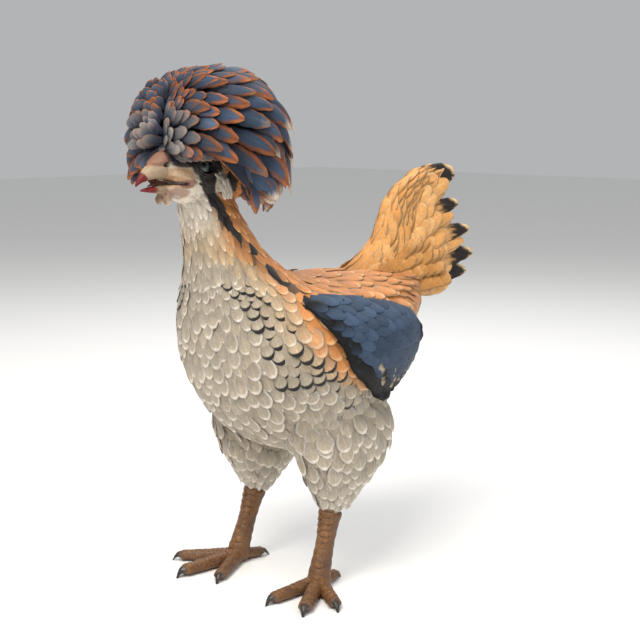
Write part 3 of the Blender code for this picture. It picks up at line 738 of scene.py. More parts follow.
class Plumes:
    """Gathers many vanes into one mesh with their paint."""

    def __init__(self) -> None:
        """Starts with no vane."""
        self.points: list[np.ndarray] = []
        self.faces: list[np.ndarray] = []
        self.rows: dict[str, list[np.ndarray]] = {}
        self.count = 0

    def add(
        self, form: Vane, path: np.ndarray, ups: np.ndarray, width: float, draw: np.random.Generator,
        tint: Callable | None = None, root_uv: tuple = (0.5, 0.5), rim: float = 0.2, twist: float = 0.0,
        notch: float = 0.0,
    ) -> None:
        """Adds one closed vane along a path.

        Args:
            form: The kind of feather.
            path: Points in metres from root to tip.
            ups: The vane's upper direction at each point.
            width: Its greatest width in metres.
            draw: The seeded draw for its ragged edge.
            tint: Gives ground and fringe colours from shares across and along.
            root_uv: Its root's place on the unwrap.
            rim: The fringe's width against the vane's.
            twist: Turns the vane about its shaft, in radians.
            notch: Keeps the fringe to the tip, the more the higher it is.
        """
        columns, rows = form.columns, form.rows
        along = 1 - (1 - np.linspace(0, 1, rows)) ** 1.35
        along[-1] = 0.992
        across = np.linspace(-1, 1, columns)
        steps = np.linspace(0, 1, len(path))
        spine = read_off(along, steps, path)
        up = unit(read_off(along, steps, ups))
        ahead = unit(np.gradient(spine, axis=0))
        aside = unit(np.cross(ahead, up))
        up = np.cross(aside, ahead)
        cos, sin = math.cos(twist), math.sin(twist)
        aside, up = aside * cos + up * sin, up * cos - aside * sin
        half = form.half_width(along) * width
        wear = 1 - form.ragged * draw.random((rows, 2)) * (along[:, None] > 0.3)
        grid = np.empty((rows, columns, 3))
        for k, share in enumerate(across):
            reach = half * share * (wear[:, 0] if share < 0 else wear[:, 1])
            lift = form.camber * half * 2 * (0.5 - share * share)
            sweep = -0.12 * width * share * share * np.sin(np.pi * np.clip(along, 0, 1) ** 2)
            grid[:, k] = spine + aside * reach[:, None] + up * lift[:, None] + ahead * sweep[:, None]
        below = grid[:, columns // 2] - up * (form.thick * width)
        points = np.concatenate((grid.reshape(-1, 3), below))
        first = rows * columns
        faces = []
        for j in range(rows - 1):
            for k in range(columns - 1):
                a = j * columns + k
                faces += [(a, a + 1, a + columns + 1), (a, a + columns + 1, a + columns)]
            low, high = j * columns, (j + 1) * columns
            faces += [(low, high, first + j + 1), (low, first + j + 1, first + j)]
            low, high = low + columns - 1, high + columns - 1
            faces += [(high, low, first + j), (high, first + j, first + j + 1)]
        for k in range(columns - 1):
            faces.append((k + 1, k, first))
            top = (rows - 1) * columns + k
            faces.append((top, top + 1, first + rows - 1))
        u = np.concatenate((np.tile(across, rows), np.zeros(rows)))
        v = np.concatenate((np.repeat(along, columns), along))
        long = np.linalg.norm(np.diff(path, axis=0), axis=1).sum()
        side_gap = (1 - np.abs(u)) * np.interp(v, along, half) / width
        tip_gap = (1 - v) * long / width * 0.8
        edge = np.minimum(side_gap, tip_gap) + notch * np.maximum(0, 0.88 - v)
        self.points.append(points)
        self.faces.append(np.array(faces) + self.count)
        self.count += len(points)
        values = {"edge": edge, "barbs": np.stack((u, v * long / width), 1), "rim": np.full(len(u), rim),
                  "along": v}
        corner = np.array(root_uv) * 0.994 + 0.003
        values["bake"] = corner + np.stack((u * 0.5, v - 0.5), 1) * 0.003
        if tint:
            values["ground"], values["fringe"] = tint(u, v)
        for name, value in values.items():
            self.rows.setdefault(name, []).append(value)

    def build(self, name: str, finish: Finish) -> bpy.types.Object:
        """Makes one mesh of all the vanes.

        Args:
            name: The piece's name.
            finish: Its finish.
        Returns:
            The piece.
        """
        piece = mesh_piece(name, np.concatenate(self.points), np.concatenate(self.faces), finish)
        rows = {key: np.concatenate(value) for key, value in self.rows.items()}
        for key in ("edge", "rim", "along"):
            store(piece, key, rows[key])
        if "ground" in rows:
            paint(piece, "ground", rows["ground"])
            paint(piece, "fringe", rows["fringe"])
        lay_uv(piece, "OFBake", rows["bake"])
        lay_uv(piece, "Barbs", rows["barbs"])
        return piece


def set_out_tree(name: str, shelf: bpy.types.Collection, finish: Finish) -> bpy.types.NodeTree:
    """A node tree that sets a blank on each root, turned and sized by the root's own values.

    Args:
        name: The tree's name.
        shelf: The collection that holds the blanks.
        finish: The finish of what is set out.
    Returns:
        The tree, with inputs for length, width, jitter and seed.
    """
    tree = bpy.data.node_groups.new(name + "_set_out", "GeometryNodeTree")
    for socket, kind, way in (
        ("Geometry", "NodeSocketGeometry", "INPUT"), ("Length", "NodeSocketFloat", "INPUT"),
        ("Width", "NodeSocketFloat", "INPUT"), ("Jitter", "NodeSocketFloat", "INPUT"),
        ("Seed", "NodeSocketInt", "INPUT"), ("Geometry", "NodeSocketGeometry", "OUTPUT"),
    ):
        tree.interface.new_socket(name=socket, in_out=way, socket_type=kind)
    start = add_node(tree, "NodeGroupInput").outputs

    def named(name: str, kind: str) -> bpy.types.NodeSocket:
        return add_node(tree, "GeometryNodeInputNamedAttribute", {"data_type": kind}, Name=name).outputs[0]

    def vector(*parts: bpy.types.NodeSocket) -> bpy.types.NodeSocket:
        return add_node(tree, "ShaderNodeCombineXYZ", **dict(zip("XYZ", parts))).outputs[0]

    kind, whole = named("kind", "INT"), vector(start["Width"], start["Length"], start["Width"])
    scale = add_node(
        tree, "ShaderNodeVectorMath", {"operation": "MULTIPLY"}, i0=named("size", "FLOAT_VECTOR"), i1=whole
    ).outputs[0]
    most, least = start["Jitter"], reckon(tree, "MULTIPLY", start["Jitter"], -1.0)
    shake = add_node(
        tree, "FunctionNodeRandomValue", {"data_type": "FLOAT_VECTOR"},
        i0=vector(least, least, least), i1=vector(most, most, most), Seed=start["Seed"],
    ).outputs[0]
    turned = add_node(tree, "FunctionNodeEulerToRotation", Euler=named("turn", "FLOAT_VECTOR")).outputs[0]
    shaken = add_node(tree, "FunctionNodeEulerToRotation", Euler=shake).outputs[0]
    both = add_node(
        tree, "FunctionNodeRotateRotation", {"rotation_space": "LOCAL"}, Rotation=turned, Rotate_By=shaken
    ).outputs[0]
    blanks = add_node(
        tree, "GeometryNodeCollectionInfo", Collection=shelf, Separate_Children=True, Reset_Children=True
    ).outputs[0]
    set_out = add_node(
        tree, "GeometryNodeInstanceOnPoints", Points=start["Geometry"], Instance=blanks, Pick_Instance=True,
        Instance_Index=kind, Rotation=both, Scale=scale,
    ).outputs[0]
    real = add_node(tree, "GeometryNodeRealizeInstances", Geometry=set_out).outputs[0]
    dressed = add_node(tree, "GeometryNodeSetMaterial", Geometry=real, Material=finish.build()).outputs[0]
    add_node(tree, "NodeGroupOutput", Geometry=dressed)
    return tree


def set_out(
    piece: bpy.types.Object, shelf: bpy.types.Collection, finish: Finish, jitter: float, seed: int
) -> None:
    """Sets blanks on a piece's points, makes the result its plain mesh, and clears the blanks away.

    Args:
        piece: Points with turn, size and kind stored on them.
        shelf: The collection that holds the blanks.
        finish: The finish of what is set out.
        jitter: The most that a blank is turned by chance, in radians.
        seed: Fixes that chance.
    """
    coat = piece.modifiers.new("set_out", "NODES")
    coat.node_group = set_out_tree(piece.name, shelf, finish)
    items = coat.node_group.interface.items_tree
    names = {item.name: item.identifier for item in items if item.in_out == "INPUT"}
    coat[names["Length"]], coat[names["Width"]] = MM, MM
    coat[names["Jitter"]], coat[names["Seed"]] = jitter, seed
    flattened(piece)
    for blank in list(shelf.objects):
        bpy.data.objects.remove(blank)
    bpy.data.collections.remove(shelf)


def turns_of(ahead: np.ndarray, up: np.ndarray) -> np.ndarray:
    """The turns that lay blanks along ways with given upper sides.

    Args:
        ahead: Rows of ways of length one.
        up: Rows of upper sides, square to them.
    Returns:
        Rows of turns about x, y and z.
    """
    aside = np.cross(ahead, up)
    return np.stack((
        np.arctan2(ahead[:, 2], up[:, 2]), -np.arcsin(np.clip(aside[:, 2], -1, 1)),
        np.arctan2(aside[:, 1], aside[:, 0]),
    ), 1)


# The long feathers of crest, wing and tail, which differ from this one in a few sizes.
LONG_FEATHER = Vane(
    shoulder=0.6, base=0.5, blunt=2.0, camber=0.08, droop=0.0, ragged=0.06, columns=7, rows=10, thick=0.03
)


@dataclass
class Coat:
    """Small feathers over one region of the skin, set out by Geometry Nodes from a few blanks."""

    name: str
    slot: str
    form: Vane
    keep: Callable
    spacing: Callable
    size: Callable
    unwrap: Callable
    flow: Callable = body_flow
    colours: Callable = plumage_at
    rim: float = 0.16
    clearance_mm: float = 0.8
    seed: int = 1
    blanks: int = 4
    jitter: float = 0.07
    finish: Finish = VANE
    spangled: bool = False

    def _blanks(self) -> bpy.types.Collection:
        """A few feather blanks that differ in wear, and a last one whose fringe is a crescent at the tip."""
        shelf = bpy.data.collections.new(self.name + "_blanks")
        steps = np.linspace(0, 1, 7)
        for k in range(self.blanks + 1):
            draw = np.random.default_rng(self.seed * 100 + k)
            path = np.stack((0 * steps, steps, -self.form.droop * steps**2), 1)
            ups = np.tile((0.0, 0.0, 1.0), (7, 1))
            plumes = Plumes()
            plumes.add(self.form, path, ups, 1.0, draw, rim=1.0, notch=1.6 * (k == self.blanks))
            blank = plumes.build(f"{self.name}_blank_{k}", self.finish)
            bpy.context.scene.collection.objects.unlink(blank)
            shelf.objects.link(blank)
        return shelf

    def build(self, skin: Skin) -> bpy.types.Object:
        """Roots the coat on the skin and makes it one plain mesh.

        Args:
            skin: The surface it grows on.
        Returns:
            The coat.
        """
        draw = np.random.default_rng(self.seed)
        roots, normals = skin.scatter(self.keep, self.spacing, self.flow, self.seed)
        spots = measure(roots)
        length, width = self.size(spots)
        length = length * draw.uniform(0.92, 1.08, len(roots))
        width = width * draw.uniform(0.94, 1.06, len(roots))
        flow = self.flow(spots)
        ahead = unit(flow - normals * (flow * normals).sum(1, keepdims=True))
        lifts = np.empty(len(roots))
        for k in range(len(roots)):
            reach = length[k] * MM * 0.9
            tip = roots[k] + ahead[k] * reach
            under, _ = skin.nearest(tip)
            over = self.clearance_mm + self.form.droop * width[k] * 0.81
            rise = (under - tip).dot(normals[k]) + over * MM
            lifts[k] = np.clip(math.atan2(rise, reach), -0.5, 0.4)
        tilt_up = ahead * np.cos(lifts)[:, None] + normals * np.sin(lifts)[:, None]
        normals = unit(np.cross(np.cross(tilt_up, normals), tilt_up))
        points = bpy.data.meshes.new(self.name)
        points.from_pydata((roots - normals * 0.3 * MM).tolist(), [], [])
        piece = add_object(self.name, points)
        tips = measure(roots + ahead * (length * MM * 0.7)[:, None])
        ground, fringe = self.colours(tips)
        rim, marked = np.full(len(roots), self.rim), np.zeros(len(roots), bool)
        if self.spangled:
            far, where = along_line(tips, SPANGLES)
            near = far < np.interp(where, range(len(SPANGLE_REACH)), SPANGLE_REACH)
            marked = near & (draw.random(len(roots)) < 0.92)
            fringe[marked], rim[marked] = DARK * 0.4, 0.4
        shade = draw.uniform(0.9, 1.08, (len(roots), 1))
        paint(piece, "ground", ground * shade)
        paint(piece, "fringe", fringe * (shade * 0.5 + 0.5))
        store(piece, "blush", rim)
        store(piece, "turn", turns_of(tilt_up, normals), "FLOAT_VECTOR")
        store(piece, "size", np.stack((width, length, width), 1), "FLOAT_VECTOR")
        kind = np.where(marked, self.blanks, draw.integers(0, self.blanks, len(roots)))
        store(piece, "kind", kind.astype(np.int32), "INT")
        root_uv = np.column_stack((self.unwrap(spots), np.zeros(len(roots))))
        store(piece, "root_uv", root_uv, "FLOAT_VECTOR")
        shelf = self._blanks()
        set_out(piece, shelf, self.finish, self.jitter, self.seed)
        self._unwrapped(piece)
        return finish_piece(smooth(piece), self.slot)

    def _unwrapped(self, piece: bpy.types.Object) -> None:
        """Moves each feather's patch to its root's place on the unwrap, and sets each fringe's width."""
        mesh = piece.data
        count = len(mesh.vertices)
        root = np.empty(count * 3, np.float32)
        mesh.attributes["root_uv"].data.foreach_get("vector", root)
        rim = np.empty(count, np.float32)
        mesh.attributes["blush"].data.foreach_get("value", rim)
        mesh.attributes["rim"].data.foreach_set("value", rim)
        patch = np.empty(len(mesh.loops) * 2, np.float32)
        mesh.uv_layers["OFBake"].data.foreach_get("uv", patch)
        centre = root.reshape(-1, 3)[corners(piece)][:, :2] * 0.994 + 0.003
        moved = patch.reshape(-1, 2) - 0.5 + centre
        mesh.uv_layers["OFBake"].data.foreach_set("uv", moved.astype(np.float32).ravel())
        for name in ("root_uv", "blush", "turn", "size", "kind"):
            if name in mesh.attributes:
                mesh.attributes.remove(mesh.attributes[name])


def unwrap_round(axis: str, low: float, high: float, centre: tuple = (0.0, 0.0)) -> Callable:
    """An unwrap by the turn about an axis and the place along it.

    Args:
        axis: The long axis of the form, y or z.
        low: Where the form starts along it, in millimetres.
        high: Where it ends.
        centre: The axis's place across, as x and the third coordinate.
    Returns:
        A function from places to pairs between 0 and 1.
    """
    long, third = (1, 2) if axis == "y" else (2, 1)

    def unwrap(points: np.ndarray) -> np.ndarray:
        turn = np.arctan2(points[:, 0] - centre[0], points[:, third] - centre[1]) / (2 * np.pi) + 0.5
        run = (points[:, long] - low) / (high - low)
        return np.clip(np.stack((turn, run), 1), 0.0, 1.0)

    return unwrap


@dataclass
class Body:
    """The bird's skin under its plumage, and the coats of breast, back, neck and thighs."""

    voxel_mm: float = 2.2
    coat_depth_mm: float = 3.4
    face_depth_mm: float = 4.5
    flesh: tuple = ("torso", "neck", "head", "thigh_left", "thigh_right")

    def build(self) -> Skin:
        """Makes the skin and every coat on it.

        Returns:
            The skin.
        """
        piece = remeshed("body_skin", self.flesh, self.voxel_mm, 12, DOWN_SKIN)
        high = ease(measure(points_of(piece.data)[0])[:, 2], 285, 305)
        points = swell(piece, -(self.coat_depth_mm + (self.face_depth_mm - self.coat_depth_mm) * high))
        ground, _ = plumage_at(measure(points))
        # Painted shade: the skin takes the plumage colours darkened, so that the gaps between the feathers
        # read as shadow.
        paint(piece, "ground", ground * 0.72)
        lay_uv(piece, "OFBake", unwrap_round("z", 50, 345)(measure(points)))
        finish_piece(piece, "breast_plumage", *self.flesh)
        skin = Skin(piece)
        for coat in self.coats():
            coat.build(skin)
        return skin

    def coats(self) -> list[Coat]:
        """The coats that grow on the skin, by region."""
        scallop = Vane(shoulder=0.66, base=0.55, blunt=2.3, camber=0.07, droop=0.14, ragged=0.03, rows=9)
        saddle = Vane(shoulder=0.6, base=0.5, blunt=2.0, camber=0.05, droop=0.15, ragged=0.07, rows=9)
        hackle = Vane(shoulder=0.5, base=0.5, blunt=1.9, camber=0.15, droop=0.08, ragged=0.08)
        wispy = Vane(shoulder=0.62, base=0.55, blunt=2.0, camber=0.08, droop=0.12, ragged=0.16)

        def trunk(p: np.ndarray) -> np.ndarray:
            return (p[:, 2] < 252) & (p[:, 2] > 96) & ~leg(p)

        def leg(p: np.ndarray) -> np.ndarray:
            return (p[:, 2] < 128) & (np.abs(p[:, 0]) > 24 - 0.16 * (128 - p[:, 2]))

        def breast(p: np.ndarray) -> np.ndarray:
            return trunk(p) & (p[:, 1] < 4)

        def rear(p: np.ndarray) -> np.ndarray:
            return trunk(p) & (p[:, 1] >= 4)

        def nape(p: np.ndarray) -> np.ndarray:
            return (p[:, 2] >= 252) & (p[:, 2] < 312) & (p[:, 1] > -128)

        def banded(p: np.ndarray) -> np.ndarray:
            far, where = along_line(p, SPANGLES)
            return 1 - ease(far / np.interp(where, range(len(SPANGLE_REACH)), SPANGLE_REACH), 0.8, 1.7)

        def trunk_gap(p: np.ndarray) -> np.ndarray:
            back = ease(p[:, 1], -60, 10) * ease(p[:, 2], 190, 225)
            return (8.7 - 0.1 * back) * (1 - 0.17 * banded(p)) - 2.6 * ease(p[:, 2], 214, 250) * (1 - back)

        def trunk_size(p: np.ndarray) -> tuple[np.ndarray, np.ndarray]:
            back = ease(p[:, 1], -60, 10) * ease(p[:, 2], 190, 225)
            small = (1 - 0.3 * ease(p[:, 2], 214, 250) * (1 - back)) * (1 - 0.18 * banded(p))
            return (18.5 + 10.5 * back) * small, (14.6 + 2.2 * back) * small

        def neck_gap(p: np.ndarray) -> np.ndarray:
            return 5.4 - 1.6 * ease(p[:, 2], 258, 305)

        def leg_gap(p: np.ndarray) -> np.ndarray:
            return 5.2 + 2.6 * ease(p[:, 2], 66, 112)

        def neck_size(p: np.ndarray) -> tuple[np.ndarray, np.ndarray]:
            high = ease(p[:, 2], 255, 305)
            return 19 - 7 * high, 9.5 - 4.0 * high

        def leg_size(p: np.ndarray) -> tuple[np.ndarray, np.ndarray]:
            high = ease(p[:, 2], 62, 110)
            return 12 + 6.5 * high, 7 + 8.5 * high

        return [
            Coat("coat_breast", "breast_plumage", scallop, breast, trunk_gap, trunk_size,
                 unwrap_round("y", -100, 6, (0, 170)), seed=3, spangled=True, rim=0.15),
            Coat("coat_back", "breast_plumage", saddle, rear, trunk_gap, trunk_size,
                 unwrap_round("y", 2, 142, (0, 180)), seed=4, rim=0.12, clearance_mm=0.5),
            Coat("coat_neck", "neck_plumage", hackle, nape, neck_gap, neck_size,
                 unwrap_round("z", 250, 314, (0, -85)), seed=5, rim=0.14, clearance_mm=0.6),
            Coat("coat_thighs", "thigh_plumage", wispy, leg, leg_gap, leg_size,
                 unwrap_round("z", 50, 130), seed=6, rim=0.15, clearance_mm=0.9, jitter=0.1),
        ]


# The bare parts of the face, as a place in the side view and a reach along y and z.
BARE_EYE = ((-106.5, 329.8), (9.6, 7.4))
BARE_LORE = ((-122, 325), (7.5, 8.5))
BARE_GAPE = ((-121, 317), (8.5, 3.6))


def face_feathered(points: np.ndarray) -> np.ndarray:
    """Tells which places on the head carry small feathers."""
    keep = (points[:, 2] >= 306) & (points[:, 2] < 337) & (points[:, 1] < -70) & (points[:, 1] > -126)
    keep &= (points[:, 1] > -112) | (points[:, 2] < 311)
    for (y, z), (long, high) in (BARE_EYE, BARE_LORE, BARE_GAPE):
        keep &= ((points[:, 1] - y) / long) ** 2 + ((points[:, 2] - z) / high) ** 2 > 1
    return keep


@dataclass
class Crest:
    """The crest that fans out from a whorl over the brow: down painted dark navy as shade, and long feathers
    over it.
    """

    middle: tuple = (0.0, -84.0, 345.0)
    turns: tuple = (0, 45, 90, 135, 180)
    reach: tuple = (48, 64, 61, 53, 54)
    rise: float = 57.0
    drop: float = 84.0
    square: float = 2.4
    rim_turns: tuple = (0, 28, 45, 60, 70, 78, 84, 90, 105, 120, 150, 180)
    rim_heights: tuple = (341, 335, 338, 334.5, 325, 315, 308, 305, 304, 309, 307, 306)
    right_heights: tuple = (339, 318, 313, 320, 322, 315, 308, 305, 304, 309, 307, 306)
    whorl: float = 0.36
    parting: float = 0.34
    lengths: tuple = (13.0, 46.0)
    widths: tuple = (9.5, 16.0)
    pitch: tuple = (0.27, 0.66)
    sink: float = 0.17
    seed: int = 21

    def way(self, turn: float, around: float) -> np.ndarray:
        """The direction from the middle at a turn away from the parting and a turn round it."""
        start = self.whorl + self.parting * math.cos(around) * max(1 - turn / 1.6, 0.0)
        front = np.array((0.0, -math.cos(start), math.sin(start)))
        above = np.array((0.0, math.sin(start), math.cos(start)))
        aside = np.array((math.sin(around), 0.0, 0.0)) + above * math.cos(around)
        return front * math.cos(turn) + aside * math.sin(turn)

    def surface(self, way: np.ndarray) -> float:
        """How far the crest's outer surface lies from its middle along a direction, in millimetres."""
        turn = math.degrees(math.atan2(abs(way[0]), -way[1]))
        wide = np.interp(turn, self.turns, self.reach)
        tall = self.rise if way[2] > 0 else self.drop
        level = math.hypot(way[0], way[1])
        return ((level / wide) ** self.square + (abs(way[2]) / tall) ** self.square) ** (-1 / self.square)

    def lie(self, way: np.ndarray) -> np.ndarray:
        """The way feathers lie at a direction from the middle: off the whorl, then back and down."""
        height = math.atan2(way[2], -way[1]) if way[1] < 0 else math.pi / 2
        start = min(max(height, self.whorl - self.parting), self.whorl + self.parting)
        front = np.array((0.0, -math.cos(start), math.sin(start)))
        turn = math.acos(min(max(way.dot(front), -1.0), 1.0))
        away = unit(way * math.cos(turn) - front)
        side = 1.0 if way[0] >= 0 else -1.0
        sag = 0.3 + 0.9 * max(0.3 - way[2], 0.0) + 0.9 * max(way[1], 0.0)
        pull = np.array((0.3 * side * (1 - abs(way[0])) * max(-way[1], 0.0), 1.0, -sag))
        pull = unit(pull - way * pull.dot(way))
        share = 0.85 * float(ease(turn, 0.3, 1.1))
        above = np.array((0.0, math.sin(start), math.cos(start)))
        rising = 1.1 * (1 - float(ease(turn, 0.1, 0.75))) * float(ease(start, 0.0, 0.4))
        return unit(away * (1 - share) + above * rising + pull * share)

    def blade(self, turn: float, around: float, length: float, lift: float) -> tuple[np.ndarray, np.ndarray]:
        """The path and upper sides of one feather from root to tip, in metres."""
        way = self.way(turn, around)
        path, ups = [], []
        steps = 10
        for k in range(steps):
            share = k / (steps - 1)
            reach = self.surface(way)
            level = 1 - self.sink * length / reach * (1 - share**0.8) + lift * share
            path.append(np.array(self.middle) + way * reach * level)
            ups.append(way)
            way = unit(way + self.lie(way) * length / reach / (steps - 1))
        return place(np.array(path)), np.array(ups)

    def cut_at_rim(self, path: np.ndarray, ups: np.ndarray, slack: float) -> tuple[np.ndarray, np.ndarray]:
        """Ends a feather where it would pass the crest's lower rim."""
        spots = measure(path)
        facing = np.degrees(np.arctan2(np.abs(spots[:, 0]), self.middle[1] - spots[:, 1]))
        heights = self.rim_heights if spots[-1, 0] > 0 else self.right_heights
        over = spots[:, 2] > np.interp(facing, self.rim_turns, heights) + slack
        last = len(over) if over.all() else int(np.argmin(over))
        if 3 <= last < 8:
            at = np.linspace(0, last - 1, 8)
            path, ups = (read_off(at, range(last), rows[:last]) for rows in (path, ups))
            last = 8
        return path[:last], ups[:last]

    def tint(self, turn: float, around: float, tip_at: np.ndarray, draw: np.random.Generator) -> Callable:
        """The paint of one feather: slate with a rusty fringe, grey over the bill, and pale tips behind."""
        low = float(ease(-math.cos(around), -0.25, 0.4))
        ahead = 1 - float(ease(turn, 0.3, 0.62))
        grey = ahead * low * draw.uniform(0.6, 1.0) * float(ease(tip_at[2], 334, 344))
        far = float(ease(tip_at[1], -90, -68)) * float(1 - ease(tip_at[2], 372, 396))
        snow = float(draw.random() < 0.8) * max(far, float(turn > 1.0) * float(draw.random() < 0.2))
        lean = draw.uniform(-1.0, 1.0)
        tone = draw.uniform(0.55, 1.05)
        pale = draw.uniform(0.0, 0.8)
        deep = draw.uniform(0.2, 0.5)

        def colours(u: np.ndarray, v: np.ndarray) -> tuple[np.ndarray, np.ndarray]:
            slate = mixed(NAVY[None], SLATE[None], ease(v, deep - 0.15, deep + 0.3))
            ground = mixed(slate, SLATE_PALE[None], pale * ease(v, 0.4, 0.8) * (1 - np.abs(u)))
            rusty = ease(v, 0.5, 1.0) * ease(np.abs(u) + 0.5 * v, 0.4, 1.2)
            fringe = mixed(RUST[None] * 0.8, RUST_PALE[None], rusty)
            ash = mixed(NAVY[None] * 2, GREY[None] * 1.15, ease(v, 0.2, 0.9))
            lopsided = 0.9 * v + 0.5 * lean * u + 0.12 * np.sin(14 * v + 9 * lean)
            fringe = mixed(ground * 0.8, fringe, ease(lopsided, 0.15, 0.6))
            ground, fringe = mixed(ground, ash, grey + 0 * u), mixed(fringe, ash * 1.15, grey + 0 * u)
            tip = snow * ease(v - 0.1 * np.abs(u) + 0.04 * np.sin(20 * u), 0.74, 0.92)
            ground, fringe = mixed(ground, SNOW[None], tip), mixed(fringe, SNOW[None], tip)
            return ground * tone, fringe * tone

        return colours

    def down(self) -> None:
        """Makes the down under the feathers, painted dark navy as the shade inside the crest."""
        rings, sides = 22, 32
        ways = [(0.0, -1.0, 0.0)]
        for j in range(1, rings):
            a = math.pi * j / rings
            ways += [(math.sin(a) * math.sin(b), -math.cos(a), math.sin(a) * math.cos(b))
                     for b in 2 * math.pi * np.arange(sides) / sides]
        ways.append((0.0, 1.0, 0.0))
        shell = []
        for way in np.array(ways):
            depth = np.interp(way[2], (-0.36, -0.04), (0.36, 0.84))
            shell.append(np.array(self.middle) + way * self.surface(way) * depth)
        faces: list[tuple] = []
        for k in range(sides):
            n = (k + 1) % sides
            last = 1 + (rings - 2) * sides
            faces += [(0, 1 + n, 1 + k), (len(ways) - 1, last + k, last + n)]
            for j in range(rings - 2):
                a, b = 1 + j * sides, 1 + (j + 1) * sides
                faces.append((a + k, a + n, b + n, b + k))
        down = mesh_piece("crest_down", place(np.array(shell)), faces, DOWN_SKIN)
        outwards(down)
        # Painted shade: half-strength navy for the shade inside the crest, seen between its feathers.
        paint_plain(down, NAVY * 0.5)
        finish_piece(down, "crest_feather", "crest")

    def build(self) -> None:
        """Makes the down and the feathers."""
        self.down()
        draw = np.random.default_rng(self.seed)
        form = replace(LONG_FEATHER, blunt=1.85, camber=0.1, ragged=0.16, rows=13)
        plumes = Plumes()
        turn, row = 0.015, 0
        while turn < 2.85:
            share = min(max((turn - 0.2) / 0.8, 0.0), 1.0)
            length = self.lengths[0] + (self.lengths[1] - self.lengths[0]) * share
            width = self.widths[0] + (self.widths[1] - self.widths[0]) * share
            around_mm = (2 * math.pi * math.sin(turn) + 4 * self.parting * max(1 - turn / 1.6, 0.0)) * 54
            count = max(8, round(around_mm / (width * self.pitch[1])))
            for k in range(count):
                around = (2 * (k + 0.5 * (row % 2)) / count - 1) * math.pi + draw.uniform(-1.1, 1.1) / count
                long = length * draw.uniform(0.8, 1.25)
                flare = 0.15 * draw.random() * float(draw.random() < 0.5) * float(ease(turn, 0.7, 1.3))
                start = turn + draw.uniform(-0.07, 0.07) * share
                path, ups = self.blade(start, around, long, flare + draw.uniform(-0.01, 0.025))
                path, ups = self.cut_at_rim(path, ups, draw.uniform(-1.5, 2.5))
                if len(path) >= 5:
                    spot = (around / (2 * math.pi) + 0.5, turn / math.pi)
                    tint = self.tint(turn, around, measure(path)[-1], draw)
                    plumes.add(form, path, ups, width * MM, draw, tint, spot,
                               rim=draw.uniform(0.14, 0.6), twist=draw.uniform(-0.16, 0.16), notch=0.45)
            turn += (length * (self.pitch[0] + 0.11 * share) if row else 2.6) / 56
            row += 1
        self.wisps(plumes, form, draw)
        self.brow(plumes, form, draw)
        self.curtain(plumes, form, draw)
        finish_piece(plumes.build("crest_feathers", QUILL), "crest_feather", "crest")

    def wisps(self, plumes: Plumes, form: Vane, draw: np.random.Generator) -> None:
        """Long pale-tipped feathers that stand off the crest's rear."""
        for side in SIDES.values():
            for k in range(11):
                around = side * math.radians(12 + 10 * k) + draw.uniform(-0.08, 0.08)
                path, ups = self.blade(1.3 + 0.25 * (k % 2) + draw.uniform(-0.08, 0.08), around,
                                       draw.uniform(46, 58), draw.uniform(0.06, 0.17))
                path, ups = self.cut_at_rim(path, ups, draw.uniform(-5.0, 0.0))
                if len(path) >= 8:
                    tint = self.tint(1.3, around, np.array((0.0, -40.0, 340.0)), draw)
                    spot = (0.5 + 0.04 * k * side, 0.95)
                    plumes.add(form, path, ups, draw.uniform(10, 13) * MM, draw, tint, spot,
                               rim=draw.uniform(0.2, 0.6), twist=draw.uniform(-0.2, 0.2), notch=0.45)

    def brow(self, plumes: Plumes, form: Vane, draw: np.random.Generator) -> None:
        """Small grey feathers that run from over the bill along each brow."""
        for side in SIDES.values():
            for row in range(2):
                for k in range(7):
                    facing = np.radians(7 + 6.5 * k + 3 * row + np.linspace(0, 17, 9))
                    out = np.linspace(45.5, 41.5 + 1.6 * row, 9)
                    z = np.linspace(346, 333.4 + 2.6 * row + 0.3 * k, 9)
                    ups = np.stack((side * np.sin(facing), -np.cos(facing), 0 * facing + 0.25), 1)
                    path = np.array(self.middle) + ups * (1, 1, 0) * out[:, None]
                    path[:, 2] = z
                    tint = self.tint(0.25 + 0.05 * k, math.pi, np.array((0.0, -130.0, 344.0)), draw)
                    spot = (0.5 + side * 0.03 * k, 0.02)
                    plumes.add(form, place(path), ups, draw.uniform(8, 9.5) * MM, draw, tint, spot,
                               rim=draw.uniform(0.14, 0.4), twist=draw.uniform(-0.1, 0.1), notch=0.4)

    def curtain(self, plumes: Plumes, form: Vane, draw: np.random.Generator) -> None:
        """Dark feathers that hang inside the rim at the sides and rear, three deep, some past the rim."""
        layers = ((0.66, 46, 112, 13, 5.0), (0.8, 54, 150, 17, 7.0), (0.93, 74, 178, 16, 7.0))
        for side in SIDES.values():
            heights = self.rim_heights if side > 0 else self.right_heights
            for inner, low, high, count, slack in layers:
                for k in range(count):
                    turn = low + (high - low) * (k + draw.uniform(-0.3, 0.3)) / (count - 1)
                    bottom = np.interp(turn, self.rim_turns, heights) - draw.uniform(-3.0, slack)
                    bottom -= 11 * float(draw.random() < 0.12) * (inner > 0.7)
                    z = np.linspace(bottom + draw.uniform(24, 31), bottom, 9)
                    tall = np.where(z < self.middle[2], self.drop, self.rise)
                    level = (1 - (np.abs(z - self.middle[2]) / tall) ** self.square) ** (1 / self.square)
                    facing = np.radians(turn + np.linspace(0, 7, 9))
                    out = level * np.interp(turn, self.turns, self.reach) * inner
                    ups = np.stack((side * np.sin(facing), -np.cos(facing), 0 * facing + 0.12), 1)
                    path = np.array(self.middle) + ups * (1, 1, 0) * out[:, None]
                    path[:, 2] = z
                    plumes.add(form, place(path), ups, draw.uniform(11, 14) * MM, draw,
                               self.tint(1.2, 1.9, path[-1], draw), (0.5 + side * turn / 400, inner),
                               rim=draw.uniform(0.12, 0.4), twist=draw.uniform(-0.15, 0.15), notch=0.5)


def outwards(piece: bpy.types.Object) -> None:
    """Turns a closed piece's faces to point outwards."""
    work = bmesh.new()
    work.from_mesh(piece.data)
    bmesh.ops.recalc_face_normals(work, faces=work.faces)
    work.to_mesh(piece.data)
    work.free()


